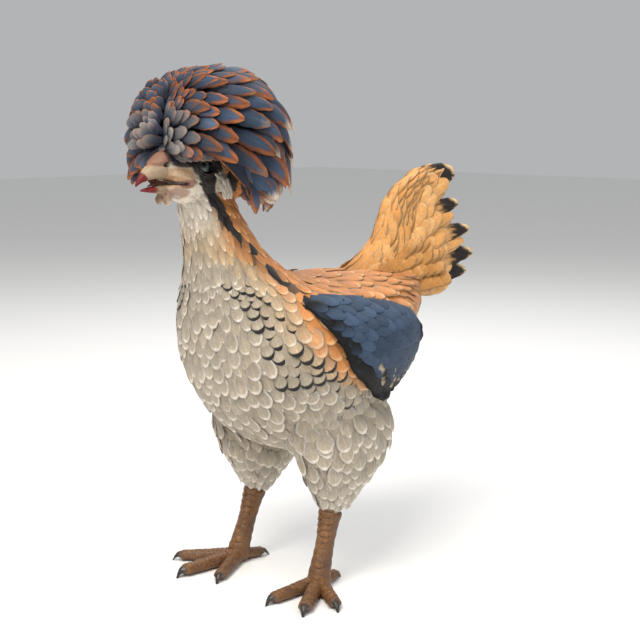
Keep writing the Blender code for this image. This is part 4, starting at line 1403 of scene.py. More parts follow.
def inside(spot: np.ndarray, outline: Sequence) -> bool:
    """Tells whether a flat place lies inside a closed outline."""
    starts = np.array(outline, float)
    ends = np.roll(starts, -1, 0)
    across = (starts[:, 1] > spot[1]) != (ends[:, 1] > spot[1])
    steps = np.where(across, ends[:, 1] - starts[:, 1], 1.0)
    meets = starts[:, 0] + (spot[1] - starts[:, 1]) / steps * (ends[:, 0] - starts[:, 0])
    return bool(np.count_nonzero(across & (meets > spot[0])) % 2)


@dataclass
class Wing:
    """One folded wing: its slab of flesh, coverts that fan back from the shoulder, and flight feathers."""

    name: str
    side: float
    pivot: tuple = (-84.0, 243.0)
    outline: tuple = (
        (-55, 233), (-34, 235), (8, 229), (46, 219), (65, 210), (72, 199), (74, 183), (65, 168), (48, 155),
        (27, 147), (4, 159), (-13, 172), (-24, 182), (-36, 203), (-46, 219),
    )
    radii: tuple = (24.0, 150.0)
    angles: tuple = (10.5, 46.5)
    row_gap: float = 9.5
    voxel_mm: float = 3.0
    smoothing: int = 110
    sink_mm: float = 0.6
    outer_sink_mm: float = 1.0
    rows: tuple = (
        ((26, 148), (73, 189), (-27, 24), 13.0, 15, -0.4),
        ((10, 157), (74, 187), (-27, 24), 12.0, 16, 0.4),
    )
    face: np.ndarray | None = None

    def colours(self, points: np.ndarray) -> tuple[np.ndarray, np.ndarray]:
        """Slate blue and paler towards the top as painted light, black along the leading, lower and rear
        edges, with a broken pale bar.
        """
        y, z = points[:, 1], points[:, 2]
        front = (
            (0, -55, 232), (0, -46, 219), (0, -36, 203), (0, -24, 182), (0, -13, 172), (0, 4, 159),
            (0, 27, 147),
        )
        back = ((0, 27, 147), (0, 48, 155), (0, 65, 168), (0, 74, 183), (0, 72, 199))
        flat = points * (0, 1, 1)
        lead, _ = along_line(flat, front, 0)
        rear, _ = along_line(flat, back, 0)
        # Painted light: paler slate towards the top of the wing, where light from above falls.
        ground = mixed(SLATE[None], SLATE_PALE[None], ease(z, 175, 225) * 0.45)
        dark = np.maximum(1 - ease(lead, 3, 11), 1 - ease(rear, 2, 6))
        zigzag = np.abs((y / 10) % 1 - 0.5) * 5
        low = z - zigzag - np.interp(y, (-24, -4, 14, 31, 47, 58, 70), (185, 177, 169, 162, 165, 171, 187))
        dark = np.maximum(dark, 1 - ease(low, -2, 1.5))
        ground = mixed(ground * 0.9, DARK[None] * 0.14, dark)
        fringe = mixed(ground * 1.5, DARK[None] * 0.3, dark)
        dashed = (np.sin(y * 0.6) > -0.7) * ease(y, -16, -6) * (1 - ease(y, 55, 62))
        bar = (1 - ease(np.abs(low), 0.9, 2.3)) * dashed
        return mixed(ground, CREAM[None], bar * 0.9), mixed(fringe, TAN_EDGE[None], bar * 0.9)

    def fit(self, skin: Skin) -> None:
        """Fits one smooth outer face to the slab, as x over y and z, for the feathers to lie on."""
        rows, found_x = [], []
        for y in range(-44, 76, 4):
            for z in range(150, 234, 4):
                start = Vector(place(np.array(((self.side * 200, y, z),)))[0])
                found = skin.tree.ray_cast(start, Vector((-self.side, 0, 0)))[0]
                if found is not None and inside(np.array((y, z)), self.outline):
                    rows.append(self.terms(y, z))
                    found_x.append(found.x / MM * self.side - 0.6)
        self.face = np.linalg.lstsq(np.array(rows), np.array(found_x), rcond=None)[0]

    @staticmethod
    def terms(y: float, z: float) -> list[float]:
        """The powers of a place on the outer face that its cubic is made of."""
        a, b = min(y, 70) / 60, (max(z, 155) - 190) / 45
        return [1, a, b, a * a, a * b, b * b, a**3, a * a * b, a * b * b, b**3]

    def laid(self, spots: np.ndarray, rise: np.ndarray) -> tuple[np.ndarray, np.ndarray]:
        """Lays a feather's flat path on the wing's outer face.

        Args:
            spots: Rows of y and z in millimetres.
            rise: How far over the face each point lies.
        Returns:
            Places in millimetres and upper sides.
        """
        path, ups = [], []
        for (y, z), over in zip(spots, rise):
            spots_round = ((y, z), (y + 1, z), (y, z + 1))
            x, further, higher = (np.dot(self.terms(*at), self.face) for at in spots_round)
            path.append((self.side * (x + over), y, z))
            ups.append(unit(np.array((self.side, x - further, x - higher))))
        return np.array(path), np.array(ups)

    def tint(self, path: np.ndarray, tone: float) -> Callable:
        """The paint of one feather from the wing's markings along its path."""

        def colours(u: np.ndarray, v: np.ndarray) -> tuple[np.ndarray, np.ndarray]:
            spots = read_off(v, np.linspace(0, 1, len(path)), path)
            spots[:, 2] += u * 4
            ground, fringe = self.colours(spots)
            return ground * tone, fringe * tone

        return colours

    def build(self) -> None:
        """Makes the slab, the coverts and the flight feathers."""
        node = f"wing_{self.name}"
        piece = remeshed(f"{node}_skin", (node,), self.voxel_mm, self.smoothing, DOWN_SKIN)
        out = self.side * points_of(piece.data)[1][:, 0]
        points = swell(piece, -(self.sink_mm + self.outer_sink_mm * np.maximum(out, 0)))
        ground, _ = self.colours(measure(points))
        # Painted shade: the slab takes the wing's colours at half strength, so that it reads as shadow
        # between the feathers.
        paint(piece, "ground", ground * 0.5)
        finish_piece(piece, "wing_feather", node)
        self.fit(Skin(piece))
        draw = np.random.default_rng(31)
        form = replace(LONG_FEATHER, base=0.6, blunt=2.1, camber=0.05, ragged=0.05, rows=11)
        plumes = Plumes()
        pivot = np.array(self.pivot)
        radius, row = self.radii[0], 0
        while radius < self.radii[1]:
            share = (radius - self.radii[0]) / (self.radii[1] - self.radii[0])
            length, width = 24 + 12 * share, 11.0 + 2.5 * share
            gap = math.degrees(width * 0.66 / (radius + length * 0.7))
            turn = self.angles[0] + gap * 0.5 * (row % 2)
            while turn < self.angles[1]:
                start = turn + draw.uniform(-0.12, 0.12) * gap
                reach = radius + draw.uniform(-1.5, 1.5) + length * np.linspace(0, 1, 13)
                angles = np.radians(start + 0.06 * np.maximum(reach - 112, 0) * (52 - start) / 42)
                spots = pivot + np.stack((np.cos(angles), -np.sin(angles)), 1) * reach[:, None]
                held = [k for k in range(13) if inside(spots[k], self.outline)]
                if len(held) >= 8:
                    spots = spots[held[0]:held[-1] + 1]
                    rise = -0.6 + 2.6 * np.linspace(0, 1, len(spots)) ** 0.8 + draw.uniform(-0.15, 0.15)
                    path, ups = self.laid(spots, rise)
                    tint = self.tint(path, draw.uniform(0.78, 1.28))
                    plumes.add(form, place(path), ups, width * MM, draw, tint, (turn / 90, share),
                               rim=0.08, twist=draw.uniform(-0.05, 0.05))
                turn += gap
            radius += self.row_gap
            row += 1
        finish_piece(plumes.build(f"coverts_{self.name}", QUILL), "wing_feather", node)
        plumes = Plumes()
        for first, last, back, width, count, level in self.rows:
            for k in range(count):
                share = k / (count - 1)
                tip = np.array(first, float) + (np.array(last) - np.array(first)) * share
                tip += np.array((0.5, -0.8)) * 6 * math.sin(math.pi * share) + draw.uniform(-1.6, 1.6, 2)
                spots = np.array([tip + np.array(back) * (1 - s) * (1.25 - 0.35 * share)
                                  for s in np.linspace(0, 1, 12)])
                held = [n for n in range(12) if inside(spots[n], self.outline)]
                if len(held) < 7:
                    continue
                spots = spots[held[0]:held[-1] + 1]
                path, ups = self.laid(spots, level + 1.2 * np.linspace(0, 1, len(spots)))
                tint = self.tint(path, draw.uniform(0.8, 1.2))
                spot = (share, 0.9 + 0.05 * (level > 0))
                plumes.add(form, place(path), ups, width * MM, draw, tint, spot,
                           rim=0.05, twist=draw.uniform(-0.1, 0.1))
        edge = np.array(self.outline[:1] + self.outline[:9:-1], float)
        run = run_along(edge)
        for k, start in enumerate(np.linspace(run[-1] - 12, 0, 22)):
            steps = start + np.linspace(0, min(20, run[-1] - start), 10)
            spots = read_off(steps, run, edge)
            spots += np.array((2.6, 1.6)) * (0.7 + 0.8 * (k % 2)) + draw.uniform(-0.6, 0.6, 2)
            path, ups = self.laid(spots, -0.4 + 1.8 * np.linspace(0, 1, 10))
            plumes.add(form, place(path), ups, 9.5 * MM, draw, self.tint(path, draw.uniform(0.8, 1.2)),
                       (k / 22, 0.98), rim=0.05, twist=draw.uniform(-0.1, 0.1))
        finish_piece(plumes.build(f"flight_{self.name}", QUILL), "wing_feather", node)


@dataclass
class Tail:
    """The raised tail: black-ended main feathers, rounded coverts, closed edges, and the fleshy root."""

    fan: tuple = (
        (183, 318, 27, 0.28), (176, 309, 22, 0.0), (186, 291, 17, 0.26), (177, 281, 16, 0.0),
        (194, 268, 16, 0.24), (186, 258, 16, 0.0), (198, 247, 18, 0.3), (191, 232, 18, 0.28),
        (172, 221, 20, 0.0),
    )
    front: tuple = (
        (50, 239), (66, 243), (78, 249), (89, 257), (98, 267), (104, 281), (108, 292), (115, 301), (126, 309),
        (146, 319), (166, 323), (178, 320),
    )
    rear: tuple = (
        (126, 203), (137, 211), (147, 224), (154, 240), (158, 256), (160, 272), (162, 288), (165, 302),
        (170, 312), (176, 318),
    )
    root_rows: tuple = (
        (108, 248, 139, 196, 23), (116, 262, 150, 206, 19), (126, 272, 160, 216, 13), (136, 278, 166, 228, 6),
    )
    seed: int = 51

    def blade(
        self, side: float, share: float, low: float, high: float, level: float
    ) -> tuple[np.ndarray, np.ndarray]:
        """Part of one feather's path and its upper sides.

        Args:
            side: 1 on the left, -1 on the right.
            share: Its place in the fan, from 0 at the top to 1 at the bottom.
            low: Where the part starts along the feather.
            high: Where it ends.
            level: How far outside the main feathers it lies, in millimetres.
        Returns:
            Places in metres and upper sides.
        """
        column = np.array([row[:2] for row in self.fan], float)
        tip = read_off((share * (len(column) - 1),), range(len(column)), column)[0]
        root = np.array((112 + 10 * share, 246 - 24 * share))
        bend = root + (tip - root) * (0.22, 0.85) + np.array((0.0, 6 * (1 - share)))
        t = np.linspace(low, high, 10)[:, None]
        flat = root * (1 - t) ** 2 + bend * 2 * t * (1 - t) + tip * t**2
        x = 4 + 10 * math.sin(0.75 * math.pi * share) + 6 * t[:, 0]
        ahead = unit(np.gradient(flat, axis=0))
        ups = np.stack((0 * x + 0.94 * side, -ahead[:, 1] * 0.34, ahead[:, 0] * 0.34), 1)
        path = np.column_stack((side * x, flat)) + ups * (level + 0 * t)
        return place(path), ups

    def length(self, share: float) -> float:
        """The length of the feather at a place in the fan, in millimetres."""
        path, _ = self.blade(1.0, share, 0.0, 1.0, 0.0)
        return float(np.linalg.norm(np.diff(path, axis=0), axis=1).sum() / MM)

    def tint(self, tone: float, black: float, blush: float) -> Callable:
        """The paint of one tail feather: buff, deeper at the root, with a dark end and a cream fringe."""

        def colours(u: np.ndarray, v: np.ndarray) -> tuple[np.ndarray, np.ndarray]:
            ground = mixed(TAIL_BUFF[None], TAIL_PALE[None], ease(v, 0.2, 0.7) * blush)
            fringe = mixed(ground, TAIL_EDGE[None], 0.3 + 0.5 * ease(v, 0.3, 0.9))
            end = (black > 0) * ease(v + 0.03 * np.sin(9 * u), 1 - black, 1.06 - black)
            ground = mixed(ground, DARK[None], end)
            fringe = mixed(fringe, mixed(DARK[None], TAIL_EDGE[None], ease(v, 0.9, 0.96)), end)
            ground = mixed(ground, TAIL_EDGE[None], (black > 0) * ease(v - 0.05 * u, 0.95, 0.985))
            return ground * tone, fringe * tone

        return colours

    def scales(self, side: float, plumes: Plumes, draw: np.random.Generator) -> None:
        """Rounded coverts that lap over the main feathers of one side, row over row from the ends down."""
        for layer, end in enumerate((0.76, 0.68, 0.58, 0.48, 0.38, 0.28)):
            count = 7 + layer % 2
            for k in range(count):
                share = (k + 0.5 * (layer % 2) * (k < count - 1)) / (count - 1)
                last = end + draw.uniform(-0.03, 0.03)
                first = last - draw.uniform(34, 42) / self.length(share)
                path, ups = self.blade(side, share, first, last, 0.8 + 0.5 * layer)
                path += ups * (2.2 * np.linspace(0, 1, len(path)))[:, None] * MM
                tint = self.tint(draw.uniform(0.92, 1.08), 0.0, draw.uniform(0.2, 1.0))
                spot = (k / count, 0.6 + 0.05 * layer + 0.025 * (side > 0))
                plumes.add(LONG_FEATHER, path, ups, draw.uniform(17, 22) * MM, draw, tint, spot,
                           rim=0.07, twist=draw.uniform(-0.15, 0.15))

    def wrap(
        self, line: Sequence, wide: tuple, deep: tuple, back: float, plumes: Plumes, draw: np.random.Generator
    ) -> None:
        """Feathers wrapped round the tail's front or rear, which close the gap between its sides.

        Args:
            line: The edge's y and z in the middle plane, from the body up.
            wide: Half its width at the start, middle and end.
            deep: How far it falls away to the sides there.
            back: 1 for the front edge, -1 for the rear.
            plumes: Takes the feathers.
            draw: The seeded draw.
        """
        form = replace(LONG_FEATHER, base=0.6)
        line = np.array(line, float)
        run = run_along(line)
        ends = (0, run[-1] * 0.5, run[-1])
        even = (-1.35, 1.35, -0.95, 0.95, -0.55, 0.55, 0.0)
        odd = (-1.5, 1.5, -1.15, 1.15, -0.8, 0.8, -0.3, 0.3)
        for k, start in enumerate(np.arange(run[-1] - 34, -4, -7.5)):
            for lean in odd if k % 2 else even:
                steps = np.clip(start + draw.uniform(-1.5, 1.5) + np.linspace(0, 33, 9), 0, run[-1])
                steps += np.linspace(0, 0.01, 9)
                flat = read_off(steps, run, line)
                ahead = unit(np.gradient(flat, axis=0) + 1e-6)
                out = back * np.stack((-ahead[:, 1], ahead[:, 0]), 1)
                facing = np.column_stack((0 * steps + math.sin(lean), out * math.cos(lean)))
                x = np.interp(steps, ends, wide) * math.sin(lean)
                fall = np.interp(steps, ends, deep) * (1 - math.cos(lean))
                lift = (2.2 * np.linspace(0, 1, 9) - 1.0)[:, None]
                path = np.column_stack((x, flat - out * fall[:, None])) + facing * lift
                tint = self.tint(draw.uniform(0.92, 1.08), 0.0, draw.uniform(0.0, 0.7))
                spot = (0.5 + 0.1 * lean, 0.9 + 0.03 * back + 0.003 * k)
                plumes.add(form, place(path), facing, draw.uniform(13, 17) * MM, draw, tint, spot,
                           rim=0.06, twist=draw.uniform(-0.1, 0.1))

    def skirt(self, side: float, plumes: Plumes, draw: np.random.Generator) -> None:
        """Saddle feathers that rise from the back onto one side of the tail."""
        form = replace(LONG_FEATHER, ragged=0.08)
        for row, (out, z) in enumerate(((18.0, 252.0), (22.0, 243.0), (27.0, 235.0), (31.0, 226.0))):
            for k in range(8):
                y = 72.0 + 9.0 * k + 4.5 * (row % 2) + draw.uniform(-1.5, 1.5)
                t = np.linspace(0, 1, 9)
                x = out - 7 * t + 1.2 + 1.5 * np.sin(math.pi * t)
                root = min(z - 3 + 0.06 * (y - 100), np.interp(y, (72, 100, 125), (237, 246, 262)))
                climb = np.interp(y, (72, 112), (4, 19)) * (1.1 - 0.25 * row)
                path = np.column_stack((side * x, y + 20 * t, root + climb * t))
                ups = np.tile(unit(np.array((side * 0.85, -0.3, 0.45))), (9, 1))
                tint = self.tint(draw.uniform(0.92, 1.08), 0.0, draw.uniform(0.0, 0.8))
                plumes.add(form, place(path), ups, draw.uniform(15, 18) * MM, draw, tint,
                           (k / 9, 0.9 + 0.02 * row), rim=0.07, twist=draw.uniform(-0.12, 0.12))

    def build(self) -> None:
        """Makes the root and the feathers of both sides."""
        sides = 24
        turns = np.linspace(0, 2 * math.pi, sides, endpoint=False)
        rings = []
        for front_y, front_z, back_y, back_z, half in self.root_rows:
            middle = np.array((0, (front_y + back_y) / 2, (front_z + back_z) / 2))
            reach = np.array((0, (front_y - back_y) / 2, (front_z - back_z) / 2))
            wide = np.array((half * 0.7, 0, 0))
            rings.append([middle + reach * math.cos(a) * 0.9 + wide * math.sin(a) for a in turns])
        points = place(np.array(rings).reshape(-1, 3))
        last = (len(rings) - 1) * sides
        faces: list = [tuple(range(sides)), tuple(range(last, last + sides))]
        for j in range(0, last, sides):
            for k in range(sides):
                n = (k + 1) % sides
                faces.append((j + k, j + n, j + sides + n, j + sides + k))
        root = mesh_piece("tail_root", points, faces, DOWN_SKIN)
        outwards(root)
        # Painted shade: the root takes half-strength orange, so that it reads as shadow between the tail
        # feathers.
        paint_plain(root, ORANGE * 0.5)
        finish_piece(root, "tail_feather", "tail")
        draw = np.random.default_rng(self.seed)
        quill = replace(
            LONG_FEATHER, shoulder=0.62, base=0.4, blunt=2.3, ragged=0.08, columns=9, rows=18, thick=0.02
        )
        plumes = Plumes()
        for side in SIDES.values():
            for k, (_, _, width, black) in enumerate(self.fan):
                share = k / (len(self.fan) - 1)
                for n in range(2):
                    high = 1.0 - 0.07 * n + draw.uniform(-0.02, 0.02)
                    level = -0.8 * n - 0.5 * (k % 2)
                    path, ups = self.blade(side, min(share + 0.035 * n, 1.0), 0.0, high, level)
                    tint = self.tint(draw.uniform(0.9, 1.08), black, draw.uniform(0.3, 0.9))
                    spot = (k / 9 + 0.05 * n, 0.1 + 0.1 * (side > 0))
                    plumes.add(quill, path, ups, width * (1 - 0.15 * n) * MM, draw, tint, spot,
                               rim=0.06, twist=draw.uniform(-0.12, 0.12))
            self.scales(side, plumes, draw)
            self.skirt(side, plumes, draw)
        self.wrap(self.front, (22, 13, 7), (14, 21, 9), 1.0, plumes, draw)
        self.wrap(self.rear, (15, 11, 8), (9, 7, 5), -1.0, plumes, draw)
        finish_piece(plumes.build("tail_feathers", QUILL), "tail_feather", "tail")


# The eyeball's place and radius, in millimetres.
EYE_SPOT = (14.6, -106.5, 329.8)
EYE_RADIUS = 7.4


@dataclass
class Face:
    """The head's bare face, with eyes, lids, bill, mouth, wattles and ear patches."""

    lid_reach: tuple = (7.0, 5.4)
    lid_folds: tuple = ((1.04, 0.42), (1.3, 0.3))
    nostril: tuple = (8.4, -132.2, 331.6)

    def bare(self, points: np.ndarray) -> np.ndarray:
        """How bare each place is, from 0 under feathers to 1 round the eye, lore and gape."""
        most = np.zeros(len(points))
        for (y, z), (long, high) in (BARE_EYE, BARE_LORE, BARE_GAPE):
            far = np.sqrt(((points[:, 1] - y) / long) ** 2 + ((points[:, 2] - z) / high) ** 2)
            most = np.maximum(most, 1 - ease(far, 0.85, 1.2))
        return np.maximum(most, 1 - ease(points[:, 1], -127, -123))

    def horn(self, points: np.ndarray) -> np.ndarray:
        """The bill: cream with red tips, a salmon knob, and painted shade under the crest, along the cutting
        edge, on the lower bill and in near-black nostrils.
        """
        y, z = points[:, 1], points[:, 2]
        red, cream, salmon, tan = linear("66110D"), linear("A38E74"), linear("84604C"), linear("8C6C54")
        colour = mixed(cream[None], tan[None], ease(y, -138, -128) * (1 - ease(z, 322, 329)) * 0.8)
        colour = mixed(colour, salmon[None], ease(z, 329.0, 332) * ease(y, -147, -141))
        # Painted shade: the bill's top, under the crest's front, is half-strength salmon.
        colour = mixed(colour, salmon[None] * 0.5, ease(z, 338, 342))
        colour = mixed(colour, red[None], 1 - ease(y + 0.75 * (z - 316), -143, -140.5))
        # Painted shade: a darker band along the upper bill's lower edge, where it overhangs the lower bill.
        colour = mixed(colour, tan[None] * 0.5, (1 - ease(z, 318.6, 320.0)) * 0.6 * ease(y, -146, -143))
        # Painted shade: the lower bill takes the cream at seven tenths, darker than the upper bill.
        under = mixed(cream[None] * 0.7, tan[None], ease(y, -138, -129))
        under = mixed(under, red[None], 1 - ease(y, -141, -137))
        colour = mixed(colour, under, 1 - ease(z, 317.0, 317.6))
        # Painted shade: the nostrils are near-black, for the shade inside their openings.
        apart = np.abs(points) * (1, 0, 0) + points * (0, 1, 1) - self.nostril
        hole = np.linalg.norm(apart / (3.4, 3.2, 1.8), axis=1)
        return mixed(colour, linear("1B1210")[None], 1 - ease(hole, 0.8, 1.2))

    def colours(self, points: np.ndarray) -> np.ndarray:
        """Tan lore, a pale lip over the gape, a near-black line of painted shade along it, dark skin round
        the eye, and the bill ahead.
        """
        ground, _ = plumage_at(points)
        y, z = points[:, 1], points[:, 2]

        def spot(at: tuple, reach: tuple, low: float = 0.75, high: float = 1.2) -> np.ndarray:
            return 1 - ease(np.hypot((y - at[0]) / reach[0], (z - at[1]) / reach[1]), low, high)

        ground = mixed(ground, linear("AE8A69")[None], spot((-124, 322), (10, 8)))
        ground = mixed(ground, linear("A58A78")[None], spot((-125, 310), (9, 5)))
        ridge = np.interp(y, (-131, -124, -118, -113), (326, 325, 322, 318))
        pale = (1 - ease(np.abs(z - ridge), 1.2, 2.8)) * (1 - ease(y, -118, -113))
        ground = mixed(ground, linear("C0A687")[None], pale)
        ground = mixed(ground, linear("8C6656")[None], spot((-119, 317.5), (5.0, 3.4)))
        # Painted shade: a near-black line along the gape, where the mouth's corner is in shadow.
        gape = np.interp(y, (-127, -120), (318.0, 317.2))
        gape_shade = (1 - ease(np.abs(z - gape), 0.5, 1.3)) * (1 - ease(y, -121, -118.5))
        ground = mixed(ground, linear("2A1514")[None], gape_shade)
        ground = mixed(ground, linear("3A2A24")[None], spot((-120, 332), (9.5, 2.8)))
        ground = mixed(ground, NAVY[None] * 0.8, ease(z, 331.5, 334))
        eye = spot(EYE_SPOT[1:], (11.0, 8.6), 0.8, 1.1)
        ground = mixed(ground, linear("191615")[None], eye)
        return mixed(self.horn(points), ground, ease(y, -133, -128))

    def mask(self) -> Skin:
        """The face itself, at full height where it is bare and sunk under feathers elsewhere."""
        nodes = ("head", "bill_upper", "bill_lower", "wattle_left", "wattle_right")
        piece = remeshed("face", nodes, 0.7, 11, FACE_SKIN)
        spots = measure(points_of(piece.data)[0])
        y, z = spots[:, 1], spots[:, 2]
        folds = 0.2 * np.sin(y * 2.6 + 0.8 * np.sin(z)) * np.sin(z * 1.9)
        bare = self.bare(spots)
        ridge = np.interp(y, (-131, -124, -118, -113), (325, 324, 321.5, 317))
        lip = np.exp(-((z - ridge) / 1.9) ** 2)
        lip *= ease(y, -132, -128) * (1 - ease(y, -115, -111))
        rise = folds * bare + 0.8 * lip - 1.1 * (1 - bare)
        rise = rise * ease(y, -133, -130) - 0.9 * (1 - ease(y, -133, -130))
        swell(piece, rise)
        # Painted shade: the face's front, sunk inside the bill, is near-black for the shade inside the mouth.
        inner = 1 - ease(y, -136, -133)
        paint(piece, "ground", mixed(self.colours(spots), linear("2A1514")[None], inner))
        finish_piece(piece, "face_skin", "head")
        return Skin(piece)

    def eye(self, name: str, side: float, skin: Skin) -> None:
        """One eyeball with iris and pupil, and the folds of its lids."""
        centre = np.array((side * EYE_SPOT[0], *EYE_SPOT[1:]))
        look = unit(np.array((side * 0.86, -0.48, 0.12)))
        made = bmesh.new()
        bmesh.ops.create_uvsphere(made, u_segments=40, v_segments=28, radius=EYE_RADIUS * 0.99 * MM)
        mesh = bpy.data.meshes.new(f"eyeball_{name}")
        made.to_mesh(mesh)
        made.free()
        ball, _ = points_of(mesh)
        angle = np.degrees(np.arccos(np.clip(unit(ball) @ look, -1, 1)))
        mesh.vertices.foreach_set("co", (ball + place(centre[None])).astype(np.float32).ravel())
        mesh.materials.append(EYE_GLASS.build())
        piece = smooth(add_object(mesh.name, mesh))
        colour = mixed(linear("050606")[None], linear("4B5B54")[None], ease(angle, 14, 18))
        colour = mixed(colour, linear("1A201E")[None], ease(angle, 30, 42))
        paint(piece, "ground", colour)
        finish_piece(piece, "eye_glass", f"eye_{name}")
        rings = []
        for scale, thick in self.lid_folds:
            loop = []
            for a in np.linspace(0, 2 * math.pi, 40, endpoint=False):
                y = centre[1] + self.lid_reach[0] * scale * math.cos(a)
                z = centre[2] + self.lid_reach[1] * scale * math.sin(a) + 0.5 * (1 - scale)
                found, _ = skin.nearest(place(np.array(((side * 40, y, z),)))[0])
                away = np.array((0, y - centre[1], z - centre[2]))
                rest = EYE_RADIUS**2 - away.dot(away)
                x = centre[0] * side + math.sqrt(rest) if rest > 0 and scale < 1.2 else 0.0
                x = max(x + 0.25, measure(found[None])[0][0] * side - 0.1)
                loop.append((side * x, y, z))
            rings.append((np.array(loop), thick))
        points, faces = [], []
        for loop, thick in rings:
            first = len(points)
            for k in range(len(loop)):
                ahead = unit(loop[(k + 1) % len(loop)] - loop[k - 1])
                out = unit(loop[k] - centre)
                cross = np.cross(ahead, out)
                for b in np.linspace(0, 2 * math.pi, 8, endpoint=False):
                    points.append(loop[k] + thick * (out * math.cos(b) + cross * math.sin(b) * 1.5))
            for k in range(len(loop)):
                here, beyond = first + k * 8, first + (k + 1) % len(loop) * 8
                for j in range(8):
                    after = (j + 1) % 8
                    faces.append((here + j, here + after, beyond + after, beyond + j))
        lids = mesh_piece(f"lids_{name}", place(np.array(points)), faces, FACE_SKIN)
        outwards(lids)
        paint_plain(lids, linear("322B29"))
        finish_piece(lids, "face_skin", "head")

    def bill(self) -> None:
        """Both halves of the bill and the tongue, with red tips, a salmon knob, painted shade, and nostrils
        painted near-black as shade.
        """
        for name, node in (("bill_top", "bill_upper"), ("bill_under", "bill_lower")):
            piece = remeshed(name, (node,), 0.42, 6, HORN)
            spots = measure(points_of(piece.data)[0])
            y, z = spots[:, 1], spots[:, 2]
            crease = np.interp(y, (-144, -128), (331.5, 329.0))
            bulge = 0.8 * ease(z, crease, crease + 3) - 0.5 * np.exp(-((z - crease) / 1.1) ** 2)
            swell(piece, bulge * ease(y, -147, -142) - 1.6 * ease(y, -132.5, -128.5))
            paint(piece, "ground", self.colours(spots))
            finish_piece(piece, "bill_horn", node)
        tongue = remeshed("tongue_skin", ("tongue",), 0.35, 4, MOUTH)
        paint_plain(tongue, linear("4A2B29"))
        finish_piece(tongue, "tongue_skin", "tongue")

    def build(self) -> None:
        """Makes every part of the face."""
        skin = self.mask()
        form = Vane(shoulder=0.5, base=0.5, blunt=1.8, camber=0.16, droop=0.14, ragged=0.12, rows=6)
        Coat("coat_face", "face_skin", form, face_feathered, lambda p: 2.5 + 0 * p[:, 0],
             lambda p: (7.0 + 0 * p[:, 0], 3.4 + 0 * p[:, 0]), unwrap_round("y", -130, -50, (0, 325)),
             seed=7, rim=0.12, clearance_mm=0.25, jitter=0.08).build(skin)
        self.bill()
        for name, side in SIDES.items():
            self.eye(name, side, skin)
            wattle = remeshed(f"wattle_skin_{name}", (f"wattle_{name}",), 0.35, 4, FACE_SKIN)
            swell(wattle, -1.1)
            paint_plain(wattle, linear("987666"))
            finish_piece(wattle, "wattle_skin", f"wattle_{name}")
            ear = remeshed(f"ear_patch_{name}", (f"ear_{name}",), 0.4, 8, FACE_SKIN)
            paint_plain(ear, linear("D6CCBC"))
            finish_piece(ear, "ear_skin", f"ear_{name}")
            self.ear_tufts(name, side, Skin(ear), skin)

    def ear_tufts(self, name: str, side: float, ear: Skin, head: Skin) -> None:
        """A teardrop of white feathers that lie down over one ear."""
        draw = np.random.default_rng(71)
        form = Vane(shoulder=0.55, base=0.6, blunt=2.0, camber=0.15, droop=0.0, ragged=0.1)
        plumes = Plumes()
        for row, z in enumerate((313.5, 316.0, 318.5, 321.0, 323.5)):
            for k in range(3 - row // 3):
                y = -92.0 - 0.22 * (z - 316) + 2.7 * (k - 1 + 0.5 * (row // 3) + 0.25 * (row % 2))
                path = []
                for s in np.linspace(0, 1, 7):
                    at = place(np.array(((side * 40, y + 1.8 * s, z - 7.5 * s),)))[0]
                    x = max(abs(surface.nearest(at)[0][0]) for surface in (ear, head)) / MM
                    out = min(x, 24.2) + 0.2 + 0.8 * s + 0.12 * row
                    path.append((side * out, y + 1.8 * s, z - 7.5 * s))
                ups = np.repeat(np.array(((side, -0.15, 0.1),)), 7, 0)

                def tint(u: np.ndarray, _: np.ndarray) -> tuple[np.ndarray, np.ndarray]:
                    white = linear("D9D0C1")[None] + 0 * u[:, None]
                    return white, white * 1.15

                spot = (0.2 * k, 0.2 * row)
                plumes.add(form, place(np.array(path)), ups, 4.6 * MM, draw, tint, spot, rim=0.1)
        finish_piece(plumes.build(f"ear_tufts_{name}", VANE), "ear_skin", f"ear_{name}")


